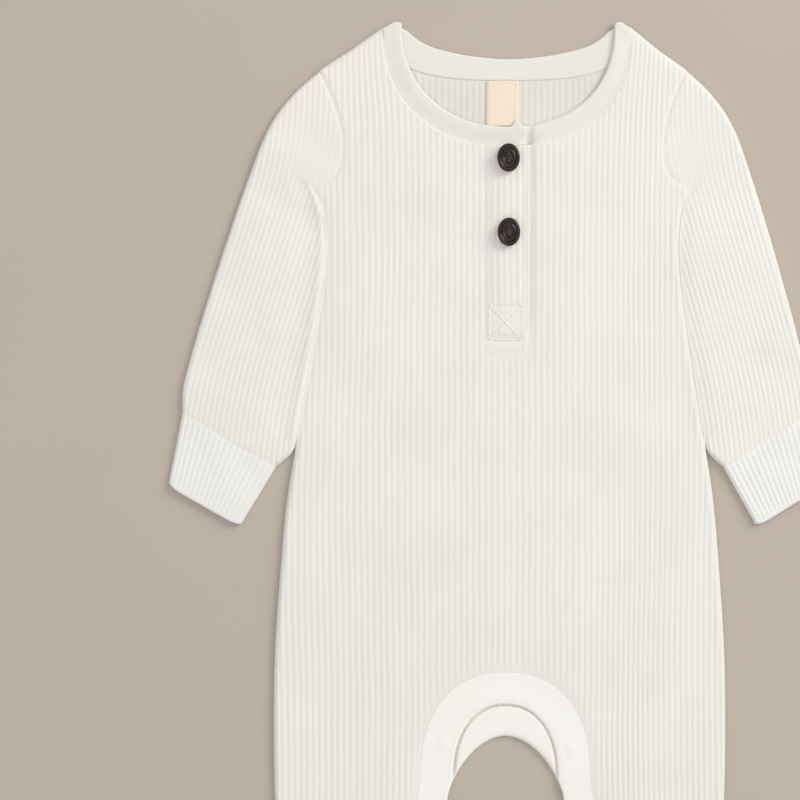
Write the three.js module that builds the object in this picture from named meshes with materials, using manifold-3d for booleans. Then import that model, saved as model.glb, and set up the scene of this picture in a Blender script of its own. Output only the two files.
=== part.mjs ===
// A baby's long-sleeved romper in ribbed cotton knit, laid flat on its back on a table.
//
// Millimetres, +Z up from the table. Seen from above, +X is to the right and +Y is towards
// the neck, and left and right are meant that way. The origin is on the table, under the
// middle of the garment's outline. The plan is drawn in two distances: "half", outwards from
// the centre front line, and "down", below the shoulder tips.
import * as THREE from "three";
import { mergeVertices } from "three/addons/utils/BufferGeometryUtils.js";
import Module from "manifold-3d";

const wasm = await Module();
wasm.setup();

// Driving dimensions
const LENGTH = 640; // shoulder tips to ankle hems
const SLEEVE_REACH = 213.1; // centre front to the outer corner of a cuff
const WALL = 1.2; // ribbed knit, without its ribs
const RIB = 3.87; // from one rib to the next
const RIB_HEIGHT = 0.6;
const SEAM = 0.4; // between pieces that are sewn edge to edge
const CLEAR = 0.3; // between pieces that lie on each other
const BACK_WALL = 1.6;
const BAND_WALL = 2.05; // neckband, folded double
const BAND_WIDTH = 20; // the strips along both inseams

// The right half lies a little narrower than the left one.
const SQUEEZE_TOP = 0.06;
const SQUEEZE_LOW = 0.08;
const SQUEEZE_DOWN = 240; // the full squeeze is reached this far down
const SQUEEZE_FROM = 40;
const SQUEEZE_TO = 110;
const CENTRE_FRONT = (SLEEVE_REACH * SQUEEZE_LOW) / 2;

// The body's outline, half against down
const SHOULDER = [
  { down: 3, half: 78.4 },
  { down: 10.6, half: 89.4 },
  { down: 18.1, half: 100 },
  { down: 25.6, half: 111.9 },
  { down: 30.6, half: 118.8 },
];
const ARMHOLE = [
  { down: 30.6, half: 118.8 },
  { down: 40, half: 113.8 },
  { down: 50.6, half: 109.4 },
  { down: 62.5, half: 105.6 },
  { down: 75, half: 103.4 },
  { down: 85, half: 103.6 },
  { down: 93, half: 106.2 },
  { down: 99.5, half: 112 },
  { down: 105, half: 122 },
];
const SIDE = [
  { down: 105, half: 122 },
  { down: 111, half: 119 },
  { down: 118, half: 116.6 },
  { down: 128, half: 115 },
  { down: 142.5, half: 114.4 },
  { down: 165, half: 116.3 },
  { down: 215, half: 124.4 },
  { down: 263.8, half: 133.1 },
  { down: 298.8, half: 138.8 },
  { down: 345.6, half: 143.1 },
  { down: 393.1, half: 146.3 },
  { down: 461.3, half: 146.9 },
  { down: 500, half: 145.6 },
  { down: 560, half: 141.5 },
  { down: LENGTH, half: 135.6 },
];
const UNDERARM = 105;

// Neck curves: half = across * cos, down = NECK_TOP + depth * sin, both with a rounding power
const NECK_TOP = 3;
const FRONT_NECK_EDGE = { across: 67, depth: 62.6, power: 2.15 };
const FRONT_NECK_SEAM = { across: 78.4, depth: 74, power: 2.25 };
const BACK_NECK_EDGE = { across: 67, depth: 20, power: 1.75 };
const BACK_NECK_SEAM = { across: 78.4, depth: 33.3, power: 2.8 };
const TIP_DROP = 3; // the neckband's fold over a shoulder slopes down to its seam by this much
const TIP_LENGTH = 10; // and the slope dies out over this depth

// The arch between the legs, centred a little left of the centre front line
const CROTCH_X = -2.2;
const FRONT_ARCH = { across: 32.8, depth: 45, power: 2.2, foot: 471 };
const BACK_ARCH = { across: 40, depth: 60, power: 1.85, foot: 506.3 };
const LEG_START = 484.9; // below this the two arches run on as the inseam
const INSEAM = [
  { down: LEG_START, half: 36.7 },
  { down: 505, half: 41.5 },
  { down: 530, half: 46 },
  { down: 567, half: 50.5 },
  { down: 605, half: 53.5 },
  { down: LENGTH, half: 55.5 },
];
const FRONT_OVER_BACK = 0.6; // the front inseam covers the back one by this much

// A sleeve's fold edges and its seam with the cuff
const SLEEVE_OUTER = [
  { down: 30.6, half: 118.8 },
  { down: 40.6, half: 130.6 },
  { down: 55.6, half: 143.8 },
  { down: 70.6, half: 152.5 },
  { down: 93.1, half: 161.3 },
  { down: 123.1, half: 171.9 },
  { down: 183.1, half: 191.3 },
  { down: 213.1, half: 200 },
  { down: 230, half: 204 },
  { down: 244.4, half: 204.2 },
];
const SLEEVE_FLARE = [
  { down: 268, half: 134.6 },
  { down: 274.4, half: 140.6 },
  { down: 278.1, half: 145.3 },
];
const SLEEVE_END = { outer: 244.4, inner: 278.1 };
const SLEEVE_TAIL = { from: 93, share: 0.08 }; // the fold edge starts along the armhole's tail
const CUFF = {
  outer: [
    { half: 204.2, down: 244.9 },
    { half: SLEEVE_REACH, down: 290 },
  ],
  inner: [
    { half: 145.5, down: 278.6 },
    { half: 168.3, down: 315.5 },
  ],
  rounding: 0.05,
};
const SLEEVE_RIBS = 20;
const CUFF_RIBS = 17;

// Heights above the table
const FRONT_EDGE = BACK_WALL + CLEAR; // underside of the front panel at its edge
const FRONT_LIFT = 1; // the front panel rises this much more away from its edge
const FRONT_SOFT = 6; // over about this distance
const TUBE_EDGE = 1.8; // fold edges of the sleeves and cuffs
const SLEEVE_TOP = 4;
const CUFF_TOP = 3.6;

// Main folds: soft ridges (lift above 0) and troughs, along "turn" degrees from +X
const FOLDS = [
  { x: -28, down: 222, turn: 4, long: 62, wide: 15, lift: -0.45 },
  { x: 22, down: 250, turn: -5, long: 66, wide: 16, lift: 0.4 },
  { x: 20, down: 286, turn: 3, long: 58, wide: 15, lift: -0.45 },
  { x: -30, down: 322, turn: 6, long: 70, wide: 18, lift: 0.45 },
  { x: -8, down: 352, turn: 8, long: 66, wide: 14, lift: -0.45 },
  { x: -110, down: 400, turn: 72, long: 70, wide: 20, lift: -0.4 },
  { x: 86, down: 470, turn: 70, long: 48, wide: 13, lift: 0.5 },
  { x: -86, down: 560, turn: 84, long: 60, wide: 16, lift: 0.4 },
  { x: 92, down: 585, turn: -82, long: 50, wide: 16, lift: 0.4 },
  { x: -84, down: 110, turn: -62, long: 34, wide: 12, lift: 0.35 },
  { x: 84, down: 112, turn: 60, long: 34, wide: 12, lift: 0.35 },
];
const SLEEVE_FOLDS = [
  { x: 142, down: 82, turn: 28, long: 34, wide: 13, lift: 0.9 },
  { x: 140, down: 112, turn: 30, long: 32, wide: 10, lift: -0.6 },
  { x: 160, down: 150, turn: 24, long: 30, wide: 14, lift: 0.35 },
  { x: 158, down: 212, turn: -18, long: 34, wide: 12, lift: -0.45 },
  { x: 172, down: 240, turn: 26, long: 34, wide: 10, lift: 0.5 },
];

// Rows of points across the panels, by their down. Both panels have the edge rows, and their
// edges are straight between them, so that the sleeves fit.
const EDGE_ROWS = [
  30.6, 40, 50.5, 60, 68, 77, 86, 93, 97.5, 101.5, 105, 111, 118, 128, 145, 170, 196, 222, 250, 280,
];
const SHOULDER_ROWS = [4.2, 12, 21, ...EDGE_ROWS.slice(0, 5), 73, 76.2];
const TORSO_ROWS = [...EDGE_ROWS.slice(5), 312, 345, 378, 406];
const LEG_ROWS = [408, 413, 423, 438, 455, 471, 485, 505, 532, 567, 603, LENGTH];
const BACK_SHOULDER_ROWS = [4.2, 14, 24, 30.6, 34.2, 35.8];
const BACK_TORSO_ROWS = [36.3, ...EDGE_ROWS.slice(1), 345, 426.3];
const BACK_LEG_ROWS = [427.5, 431, 438, 450, 465, 485, 505, 532, 567, 603, LENGTH];
const BACK_ARCH_SEAM = { across: 60, depth: 80, power: 1.85, foot: 506.3 };
const FRONT_ARCH_SEAM = { across: 53, depth: 65, power: 2.3, foot: 471 };
const FRONT_LEG_SEAM = [
  { down: 471, half: 53 },
  { down: 485, half: 55.4 },
  { down: 505, half: 60.6 },
  { down: 530, half: 65.5 },
  { down: 567, half: 70.3 },
  { down: 605, half: 73.4 },
  { down: LENGTH, half: 75.5 },
];
const PLAIN_STEP = 22; // between the columns of a face without ribs

// Placket, label and buttons
const PLACKET = { left: -14.6, right: 9.4, top: 77.6, bottom: 200.9, wall: 1.3 };
const PLACKET_ROWS = 7;
const LABEL = { left: -13.9, right: 6.2, top: 37.4, bottom: 64, wall: 1 };
const BUTTON = { across: 14.1, along: 17.7, height: 3.1, holeRadius: 0.9, holeOffset: 2 };
const BUTTONS = [
  { name: "button_upper", x: -0.6, down: 85.5 },
  { name: "button_lower", x: -0.4, down: 131.7 },
];
const BUTTON_SIDES = 28;
const HOLE_SIDES = 8;

const mix = (a, b, t) => a + (b - a) * t;

function smooth(from, to, value) {
  const t = Math.min(1, Math.max(0, (value - from) / (to - from)));
  return t * t * (3 - 2 * t);
}

// A smooth curve through a table's rows: half at a given down
function halfAt(table, down) {
  const last = table.length - 1;
  let i = 0;
  while (i < last - 1 && table[i + 1].down < down) i += 1;
  const slope = (a, b) => (table[b].half - table[a].half) / (table[b].down - table[a].down);
  const own = slope(i, i + 1);
  const before = i > 0 ? (own + slope(i - 1, i)) / 2 : own;
  const after = i < last - 1 ? (own + slope(i + 1, i + 2)) / 2 : own;
  const step = table[i + 1].down - table[i].down;
  const t = (down - table[i].down) / step;
  const bend = t * (1 - t) * ((before - own) * (1 - t) + (own - after) * t);
  return mix(table[i].half, table[i + 1].half, t) + bend * step;
}

const edgeCurve = (down) => halfAt(down <= UNDERARM ? ARMHOLE : SIDE, down);

function bodyEdge(down) {
  if (down < EDGE_ROWS[0]) return halfAt(SHOULDER, down);
  const next = EDGE_ROWS.findIndex((row) => row > down);
  if (next < 0) return halfAt(SIDE, down);
  const [from, to] = [EDGE_ROWS[next - 1], EDGE_ROWS[next]];
  return mix(edgeCurve(from), edgeCurve(to), (down - from) / (to - from));
}

// Keeps a point of a sleeve outside the body's edge, by a gap at right angles to the edge and
// a little more at the underarm's tip
function besideBody(down, gap) {
  const slope = bodyEdge(down + 0.5) - bodyEdge(down - 0.5);
  const tip = Math.exp(-(((down - UNDERARM) / 3) ** 2));
  return bodyEdge(down) + (gap + tip) * Math.hypot(1, slope);
}

// A neck or crotch curve: half at a given depth below its level end
function roundHalf(curve, depth) {
  const share = Math.min(1, Math.max(0, depth / curve.depth));
  return curve.across * (1 - share ** curve.power) ** (1 / curve.power);
}

const neckSeam = (curve, down) => roundHalf(curve, down - NECK_TOP);

// Half-widths of the gap between the legs at the finished edges and at the band seams
function frontInseam(down) {
  const { foot, across } = FRONT_ARCH;
  if (down <= foot) return roundHalf(FRONT_ARCH, foot - down);
  const leg = halfAt(INSEAM, Math.max(down, LEG_START)) - FRONT_OVER_BACK;
  return mix(across, leg, smooth(foot, LEG_START, down));
}

function frontBandSeam(down) {
  const { foot } = FRONT_ARCH_SEAM;
  return down <= foot ? roundHalf(FRONT_ARCH_SEAM, foot - down) : halfAt(FRONT_LEG_SEAM, down);
}

function backInseam(down) {
  return down < LEG_START ? roundHalf(BACK_ARCH, BACK_ARCH.foot - down) : halfAt(INSEAM, down);
}

function backBandSeam(down) {
  if (down < LEG_START) return roundHalf(BACK_ARCH_SEAM, BACK_ARCH_SEAM.foot - down);
  const start = roundHalf(BACK_ARCH_SEAM, BACK_ARCH_SEAM.foot - LEG_START);
  return mix(start, halfAt(INSEAM, down) + BAND_WIDTH, smooth(LEG_START, 530, down));
}

// From the plan to the table top
function lay(x, down) {
  const low = Math.min(1, down / SQUEEZE_DOWN);
  const most = mix(SQUEEZE_TOP, SQUEEZE_LOW, low);
  const squeeze = x > 0 ? most * smooth(SQUEEZE_FROM, SQUEEZE_TO, x) : 0;
  return [CENTRE_FRONT + x * (1 - squeeze), LENGTH / 2 - down];
}

function foldLift(folds, x, down) {
  let lift = 0;
  for (const fold of folds) {
    const turn = THREE.MathUtils.degToRad(fold.turn);
    const dx = x - fold.x;
    const dy = fold.down - down;
    const along = dx * Math.cos(turn) + dy * Math.sin(turn);
    const across = dy * Math.cos(turn) - dx * Math.sin(turn);
    lift += fold.lift * Math.exp(-((along / fold.long) ** 2) - (across / fold.wide) ** 2);
  }
  return lift;
}

// The ribs wander a little to each side on their way down.
const ribWander = (x, down) => 0.9 * Math.sin(down / 46 + x / 55) * smooth(20, 90, Math.abs(x));

// Underside of the front panel: low at the shoulder and side edges, level at the armholes
function frontUnder(x, down) {
  const share = 1 - smooth(27, 34, down) + smooth(104, 116, down);
  const inward = Math.max(0, bodyEdge(down) - Math.abs(x));
  const rise = 1 - share * Math.exp(-inward / FRONT_SOFT);
  return FRONT_EDGE + rise * (FRONT_LIFT + foldLift(FOLDS, x, down));
}

// A closed surface that is built up from rows of points
class Wall {
  constructor() {
    this.positions = [];
    this.faces = [];
  }

  // A row is a list of [place along the row, x, y, z].
  row(points, closed = false) {
    const ids = points.map(([, x, y, z]) => this.positions.push([x, y, z]) - 1);
    const at = points.map(([place]) => place);
    if (closed) {
      ids.push(ids[0]);
      at.push(Infinity);
    }
    return { ids, at };
  }

  split(row, index) {
    const part = (from, to) => ({ ids: row.ids.slice(from, to), at: row.at.slice(from, to) });
    return [part(0, index + 1), part(index)];
  }

  // Fills the strip between two rows, stepping along whichever row is behind.
  strip(a, b) {
    let i = 0;
    let j = 0;
    while (i < a.ids.length - 1 || j < b.ids.length - 1) {
      const stepA = j === b.ids.length - 1 || (i < a.ids.length - 1 && a.at[i + 1] <= b.at[j + 1]);
      if (stepA) this.faces.push([a.ids[i], b.ids[j], a.ids[++i]]);
      else this.faces.push([a.ids[i], b.ids[j], b.ids[++j]]);
    }
  }

  // A wall between a stack of top rows and a stack of rows under them
  slab(top, under, { start = true, end = true, open = true } = {}) {
    const last = top.length - 1;
    for (let k = 0; k < last; k += 1) {
      this.strip(top[k], top[k + 1]);
      this.strip(under[k + 1], under[k]);
      if (!open) continue;
      const corners = (pick) => [top[k], under[k], under[k + 1], top[k + 1]].map((r) => pick(r.ids));
      const [a, b, c, d] = corners((ids) => ids[0]);
      this.faces.push([a, b, c], [a, c, d]);
      const [e, f, g, h] = corners((ids) => ids[ids.length - 1]);
      this.faces.push([e, g, f], [e, h, g]);
    }
    if (start) this.strip(under[0], top[0]);
    if (end) this.strip(top[last], under[last]);
  }

  // A solid bar through sections of four corners each
  bar(sections) {
    const rows = sections.map((corners) => this.row(corners.map((p, k) => [k, ...p]), true));
    for (let k = 0; k < rows.length - 1; k += 1) this.strip(rows[k], rows[k + 1]);
    const [a, b, c, d] = rows[0].ids;
    this.faces.push([a, b, c], [a, c, d]);
    const [e, f, g, h] = rows[rows.length - 1].ids;
    this.faces.push([e, g, f], [e, h, g]);
  }

  geometry() {
    const point = (id) => new THREE.Vector3(...this.positions[id]);
    const volume = this.faces.reduce((sum, [a, b, c]) => {
      return sum + point(a).dot(point(b).cross(point(c)));
    }, 0);
    const faces = volume < 0 ? this.faces.map(([a, b, c]) => [a, c, b]) : this.faces;
    const geometry = new THREE.BufferGeometry();
    const flat = new Float32Array(this.positions.flat());
    geometry.setAttribute("position", new THREE.BufferAttribute(flat, 3));
    geometry.setIndex(faces.flat());
    geometry.computeVertexNormals();
    return geometry;
  }
}

// The places of a row's columns between two ends, with the ends themselves
function ribbedPlaces(from, to, down, extra = []) {
  const step = RIB / 2;
  const places = [{ place: from, x: from, rib: 0 }];
  const first = Math.ceil(from / step) - 2;
  for (let i = first; i * step < to + RIB; i += 1) {
    const x = i * step + ribWander(i * step, down);
    const free = extra.every((e) => Math.abs(x - e) > step / 2);
    if (x > from + step / 3 && x < to - step / 3 && free) {
      places.push({ place: i * step, x, rib: i % 2 === 0 ? RIB_HEIGHT : 0 });
    }
  }
  extra.forEach((x) => places.push({ place: x, x, rib: 0 }));
  places.push({ place: to, x: to, rib: 0 });
  return places.sort((a, b) => a.x - b.x);
}

function plainPlaces(from, to, down, extra = []) {
  const places = [from, ...extra, to];
  const first = Math.ceil(from / PLAIN_STEP);
  for (let i = first; i * PLAIN_STEP < to; i += 1) {
    const x = i * PLAIN_STEP;
    if (places.every((p) => Math.abs(x - p) > PLAIN_STEP / 4)) places.push(x);
  }
  return places.sort((a, b) => a - b).map((x) => ({ place: x, x, rib: 0 }));
}

function panelRow(wall, places, down, height) {
  return wall.row(places.map(({ place, x, rib }) => [place, ...lay(x, down), height(x, down) + rib]));
}

// All rows of one face of a body panel: shoulders, torso and legs, which share their last rows
function panelFace(wall, plan, placesOf, height) {
  const across = (from, to, down, extra) => {
    return panelRow(wall, placesOf(from, to, down, extra), down, height);
  };
  const lastTorso = plan.torso.length - 1;
  const torso = plan.torso.map((down, k) => {
    const extra = k === 0 ? [0] : k === lastTorso ? [CROTCH_X] : [];
    return across(-bodyEdge(down), bodyEdge(down), down, extra);
  });
  const splitAt = (row, x) => wall.split(row, row.at.indexOf(x));
  const [neckLeft, neckRight] = splitAt(torso[0], 0);
  const [crotchLeft, crotchRight] = splitAt(torso[lastTorso], CROTCH_X);
  return {
    torso,
    shoulders: [
      [...plan.shoulders.map((d) => across(-bodyEdge(d), -plan.neck(d), d)), neckLeft],
      [...plan.shoulders.map((d) => across(plan.neck(d), bodyEdge(d), d)), neckRight],
    ],
    legs: [
      [crotchLeft, ...plan.legs.map((d) => across(-bodyEdge(d), CROTCH_X - plan.inner(d), d))],
      [crotchRight, ...plan.legs.map((d) => across(CROTCH_X + plan.inner(d), bodyEdge(d), d))],
    ],
  };
}

function bodyPanel(plan, upper, lower) {
  const wall = new Wall();
  const top = panelFace(wall, plan, upper.places, upper.height);
  const under = panelFace(wall, plan, plainPlaces, lower.height);
  wall.slab(top.torso, under.torso, { start: false, end: false });
  top.shoulders.forEach((rows, k) => wall.slab(rows, under.shoulders[k], { end: false }));
  top.legs.forEach((rows, k) => wall.slab(rows, under.legs[k], { start: false }));
  return wall.geometry();
}

function frontPanel() {
  const plan = {
    shoulders: SHOULDER_ROWS,
    torso: TORSO_ROWS,
    legs: LEG_ROWS,
    neck: (down) => neckSeam(FRONT_NECK_SEAM, down),
    inner: frontBandSeam,
  };
  const upper = { places: ribbedPlaces, height: (x, down) => frontUnder(x, down) + WALL };
  return bodyPanel(plan, upper, { height: frontUnder });
}

function backPanel() {
  const plan = {
    shoulders: BACK_SHOULDER_ROWS,
    torso: BACK_TORSO_ROWS,
    legs: BACK_LEG_ROWS,
    neck: (down) => neckSeam(BACK_NECK_SEAM, down),
    inner: backBandSeam,
  };
  const upper = { places: plainPlaces, height: () => BACK_WALL };
  return bodyPanel(plan, upper, { height: () => 0 });
}

// A point of the sleeve's plan: s runs from the outer fold to the inner one, t from the
// armhole to the cuff. The rows start on the armhole and straighten towards the cuff.
function sleevePoint(s, t) {
  const { from, share } = SLEEVE_TAIL;
  const below = (t - share) / (1 - share);
  const outerDown = mix(30.6, SLEEVE_END.outer, t);
  const innerDown = t < share ? mix(from, UNDERARM, t / share) : mix(UNDERARM, SLEEVE_END.inner, below);
  const outer = halfAt(SLEEVE_OUTER, outerDown);
  const flared = innerDown > SLEEVE_FLARE[0].down;
  const inner = flared ? halfAt(SLEEVE_FLARE, innerDown) : besideBody(innerDown, SEAM);
  const start = bodyEdge(mix(30.6, from, s)) - mix(bodyEdge(30.6), bodyEdge(from), s);
  const down = mix(outerDown, innerDown, s);
  const half = mix(outer, inner, s) + (1 - t) ** 2.2 * start;
  const apart = SEAM + 12 * (1 - s) * Math.min(1, t / share);
  return { down, half: Math.max(half, besideBody(down, apart)) };
}

function cuffPoint(s, t) {
  const reach = t * (1 - CUFF.rounding * Math.abs(2 * s - 1) ** 8);
  const edge = ([from, to]) => ({
    half: mix(from.half, to.half, reach),
    down: mix(from.down, to.down, reach),
  });
  const outer = edge(CUFF.outer);
  const inner = edge(CUFF.inner);
  return { half: mix(outer.half, inner.half, s), down: mix(outer.down, inner.down, s) };
}

// A flattened tube: a ribbed top, a flat underside and a thin hollow between them
function tube(side, pointAt, { ribs, rows, top, folds }) {
  const wall = new Wall();
  const rim = 0.025; // the underside and the hollow start this share of the width inwards
  const plain = 6;
  const topHeight = (s, point) => {
    const arch = Math.sqrt(Math.max(0, 1 - Math.abs(2 * s - 1) ** 8));
    return TUBE_EDGE + arch * (top - TUBE_EDGE + foldLift(folds, point.half, point.down));
  };
  const corner = (place, s, t, height) => {
    const point = pointAt(s, t);
    return [place, ...lay(side * point.half, point.down), height(point)];
  };
  const outerRow = (t) => {
    const points = [];
    for (let i = 0; i <= 2 * ribs; i += 1) {
      const s = i / (2 * ribs);
      const rib = i % 2 === 1 ? RIB_HEIGHT : 0;
      points.push(corner(s, s, t, (point) => topHeight(s, point) + rib));
    }
    for (let i = 0; i <= plain; i += 1) {
      const s = mix(1 - rim, rim, i / plain);
      points.push(corner(2 - s, s, t, () => 0));
    }
    return wall.row(points, true);
  };
  const innerRow = (t) => {
    const points = [];
    for (let i = 0; i <= plain; i += 1) {
      const s = mix(rim, 1 - rim, i / plain);
      const end = i === 0 || i === plain;
      const middle = (point) => Math.max(WALL + 0.5, topHeight(s, point) - WALL);
      points.push(corner(s, s, t, (point) => (end ? WALL + 0.3 : middle(point))));
    }
    for (let i = 1; i < plain; i += 1) {
      const s = mix(1 - rim, rim, i / plain);
      points.push(corner(2 - s, s, t, () => WALL));
    }
    return wall.row(points, true);
  };
  wall.slab(rows.map(outerRow), rows.map(innerRow), { open: false });
  return wall.geometry();
}

const SLEEVE = {
  ribs: SLEEVE_RIBS,
  rows: [0, 0.025, 0.05, 0.08, 0.1, 0.14, 0.21, 0.32, 0.45, 0.58, 0.72, 0.86, 1],
  top: SLEEVE_TOP,
  folds: SLEEVE_FOLDS,
};
const CUFF_TUBE = { ribs: CUFF_RIBS, rows: [0, 0.3, 0.65, 0.93, 1], top: CUFF_TOP, folds: [] };

const tipDrop = (half, depth) =>
  TIP_DROP *
  smooth(FRONT_NECK_EDGE.across, FRONT_NECK_SEAM.across, half) *
  (1 - smooth(0, TIP_LENGTH, depth));

const section = (edge, seam, low, high) => [
  [...lay(...edge), high],
  [...lay(...seam), high],
  [...lay(...seam), low],
  [...lay(...edge), low],
];

// The neckband is one folded strip: along the front neck, over each shoulder tip, round the back.
function neckband() {
  const foldDown = BAND_WALL + CLEAR / 2;
  const foldHeight = BAND_WALL + CLEAR / 2;
  const power = FRONT_NECK_SEAM.power;
  const frontSection = (side, half) => {
    const share = half / FRONT_NECK_SEAM.across;
    const sin = (1 - share ** power) ** (1 / power);
    const depth = FRONT_NECK_SEAM.depth * sin;
    const tuck = 1 - SEAM / Math.hypot(half, depth);
    const seam = [side * half * tuck, NECK_TOP + depth * tuck + tipDrop(half, depth)];
    const round = power / FRONT_NECK_EDGE.power;
    const across = FRONT_NECK_EDGE.across * share ** round;
    const edge = [side * across, NECK_TOP + FRONT_NECK_EDGE.depth * sin ** round];
    const lift = (FRONT_LIFT - 0.4) * smooth(0, 30, depth);
    const low = foldHeight + CLEAR / 2 + lift;
    return section(edge, seam, low, low + BAND_WALL);
  };
  const backSection = (side, down) => {
    const half = neckSeam(BACK_NECK_SEAM, down);
    const depth = down - NECK_TOP;
    const tuck = 1 - SEAM / Math.hypot(half, depth);
    const round = BACK_NECK_SEAM.power / BACK_NECK_EDGE.power;
    const cos = (half / BACK_NECK_SEAM.across) ** round;
    const sin = (depth / BACK_NECK_SEAM.depth) ** round;
    const edge = [side * BACK_NECK_EDGE.across * cos, NECK_TOP + BACK_NECK_EDGE.depth * sin];
    const seam = [side * half * tuck, NECK_TOP + depth * tuck + tipDrop(half, depth)];
    return section(edge, seam, BAND_WALL, 0);
  };
  const tipSection = (side, turn) => {
    const place = (half, radius) => [
      ...lay(side * half, foldDown + tipDrop(half, 0) - radius * Math.sin(turn)),
      foldHeight + radius * Math.cos(turn),
    ];
    const edge = FRONT_NECK_EDGE.across - 0.2;
    const seam = FRONT_NECK_SEAM.across - SEAM;
    const outside = foldHeight;
    const inside = CLEAR / 2;
    return [place(edge, outside), place(seam, outside), place(seam, inside), place(edge, inside)];
  };
  const halves = SHOULDER_ROWS.map((down) => neckSeam(FRONT_NECK_SEAM, down)).reverse();
  const turns = [0, 45, 90, 135, 180].map((degrees) => THREE.MathUtils.degToRad(degrees));
  const backDowns = [...BACK_SHOULDER_ROWS, BACK_TORSO_ROWS[0]];
  const overlap = PLACKET.right;
  const wall = new Wall();
  wall.bar([
    frontSection(1, overlap),
    frontSection(1, 0),
    ...halves.map((half) => frontSection(-1, half)),
    ...turns.map((turn) => tipSection(-1, turn)),
    ...backDowns.map((down) => backSection(-1, down)),
    ...backDowns.slice(0, -1).reverse().map((down) => backSection(1, down)),
    ...turns.slice().reverse().map((turn) => tipSection(1, turn)),
    ...halves.slice().reverse().map((half) => frontSection(1, half)),
    frontSection(1, overlap + 2 * SEAM),
  ]);
  return wall.geometry();
}

// A strip that edges both legs and the arch between them, from hem to hem. It has a section
// at each of its panel's rows.
function inseamBand({ rows, seamArch, edgeArch, seamAt, edgeAt, low, high }) {
  const { foot } = seamArch;
  const at = (side, down) => {
    const above = Math.max(0, foot - down);
    const edgeDown = down + above * (1 - edgeArch.depth / seamArch.depth);
    const seamHalf = seamAt(down);
    const tuck = 1 - SEAM / Math.hypot(seamHalf, above);
    const edge = [CROTCH_X + side * edgeAt(edgeDown), edgeDown];
    const seam = [CROTCH_X + side * seamHalf * tuck, down + above * (1 - tuck)];
    return section(edge, seam, low, high);
  };
  const wall = new Wall();
  wall.bar([
    ...rows.slice().reverse().map((down) => at(-1, down)),
    at(1, foot - seamArch.depth),
    ...rows.map((down) => at(1, down)),
  ]);
  return wall.geometry();
}

const FRONT_BAND = {
  rows: LEG_ROWS,
  seamArch: FRONT_ARCH_SEAM,
  edgeArch: FRONT_ARCH,
  seamAt: frontBandSeam,
  edgeAt: frontInseam,
  low: FRONT_EDGE + CLEAR,
  high: FRONT_EDGE + CLEAR + BACK_WALL,
};
const BACK_BAND = {
  rows: BACK_LEG_ROWS,
  seamArch: BACK_ARCH_SEAM,
  edgeArch: BACK_ARCH,
  seamAt: backBandSeam,
  edgeAt: backInseam,
  low: 0,
  high: BACK_WALL,
};

const placketFloor = (x, down) => frontUnder(x, down) + WALL + RIB_HEIGHT + CLEAR;

function placket() {
  const { left, right, top, bottom, wall: thickness } = PLACKET;
  const wall = new Wall();
  const downs = Array.from({ length: PLACKET_ROWS }, (_, k) => mix(top, bottom, k / (PLACKET_ROWS - 1)));
  const upper = (x, down) => placketFloor(x, down) + thickness;
  wall.slab(
    downs.map((down) => panelRow(wall, ribbedPlaces(left, right, down), down, upper)),
    downs.map((down) => panelRow(wall, plainPlaces(left, right, down), down, placketFloor)),
  );
  return wall.geometry();
}

function label() {
  const { left, right, top, bottom, wall: thickness } = LABEL;
  const low = BACK_WALL + CLEAR;
  const wall = new Wall();
  wall.bar([top, bottom].map((down) => section([left, down], [right, down], low, low + thickness)));
  return wall.geometry();
}

function asSolid(geometry) {
  const bare = geometry.clone();
  bare.deleteAttribute("normal");
  bare.deleteAttribute("uv");
  const merged = mergeVertices(bare, 1e-4);
  const vertProperties = merged.attributes.position.array;
  const triVerts = new Uint32Array(merged.index.array);
  return new wasm.Manifold(new wasm.Mesh({ numProp: 3, vertProperties, triVerts }));
}

function asGeometry(solid) {
  const mesh = solid.getMesh();
  const geometry = new THREE.BufferGeometry();
  geometry.setAttribute("position", new THREE.BufferAttribute(mesh.vertProperties, 3));
  geometry.setIndex(new THREE.BufferAttribute(mesh.triVerts, 1));
  geometry.computeVertexNormals();
  return geometry;
}

// A dished four-hole button, oval in plan, with its axis along Z and its foot at 0
function buttonGeometry() {
  const radius = BUTTON.across / 2;
  const high = BUTTON.height;
  const profile = [
    [0, 0],
    [0.78, 0],
    [0.96, 0.3],
    [1, 0.6],
    [0.94, 0.88],
    [0.84, 1],
    [0.7, 0.86],
    [0.56, 0.66],
    [0, 0.62],
  ].map(([r, z]) => new THREE.Vector2(r * radius, z * high));
  const disc = new THREE.LatheGeometry(profile, BUTTON_SIDES);
  disc.rotateX(Math.PI / 2);
  let solid = asSolid(disc);
  for (const [sx, sy] of [[1, 1], [1, -1], [-1, 1], [-1, -1]]) {
    const drill = new THREE.CylinderGeometry(BUTTON.holeRadius, BUTTON.holeRadius, 4 * high, HOLE_SIDES);
    drill.rotateX(Math.PI / 2);
    drill.translate(sx * BUTTON.holeOffset, sy * BUTTON.holeOffset, 0);
    solid = solid.subtract(asSolid(drill));
  }
  const geometry = asGeometry(solid);
  geometry.scale(1, BUTTON.along / BUTTON.across, 1);
  return geometry;
}

const KNIT = new THREE.MeshStandardMaterial({ color: 0xece9e1, roughness: 0.9, flatShading: true });
const TAPE = new THREE.MeshStandardMaterial({ color: 0xf8ead4, roughness: 0.8, flatShading: true });
const HORN = new THREE.MeshStandardMaterial({ color: 0x38221c, roughness: 0.35, flatShading: true });

const romper = new THREE.Group();

function add(name, geometry, material) {
  const mesh = new THREE.Mesh(geometry, material);
  mesh.name = name;
  romper.add(mesh);
  return mesh;
}

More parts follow.
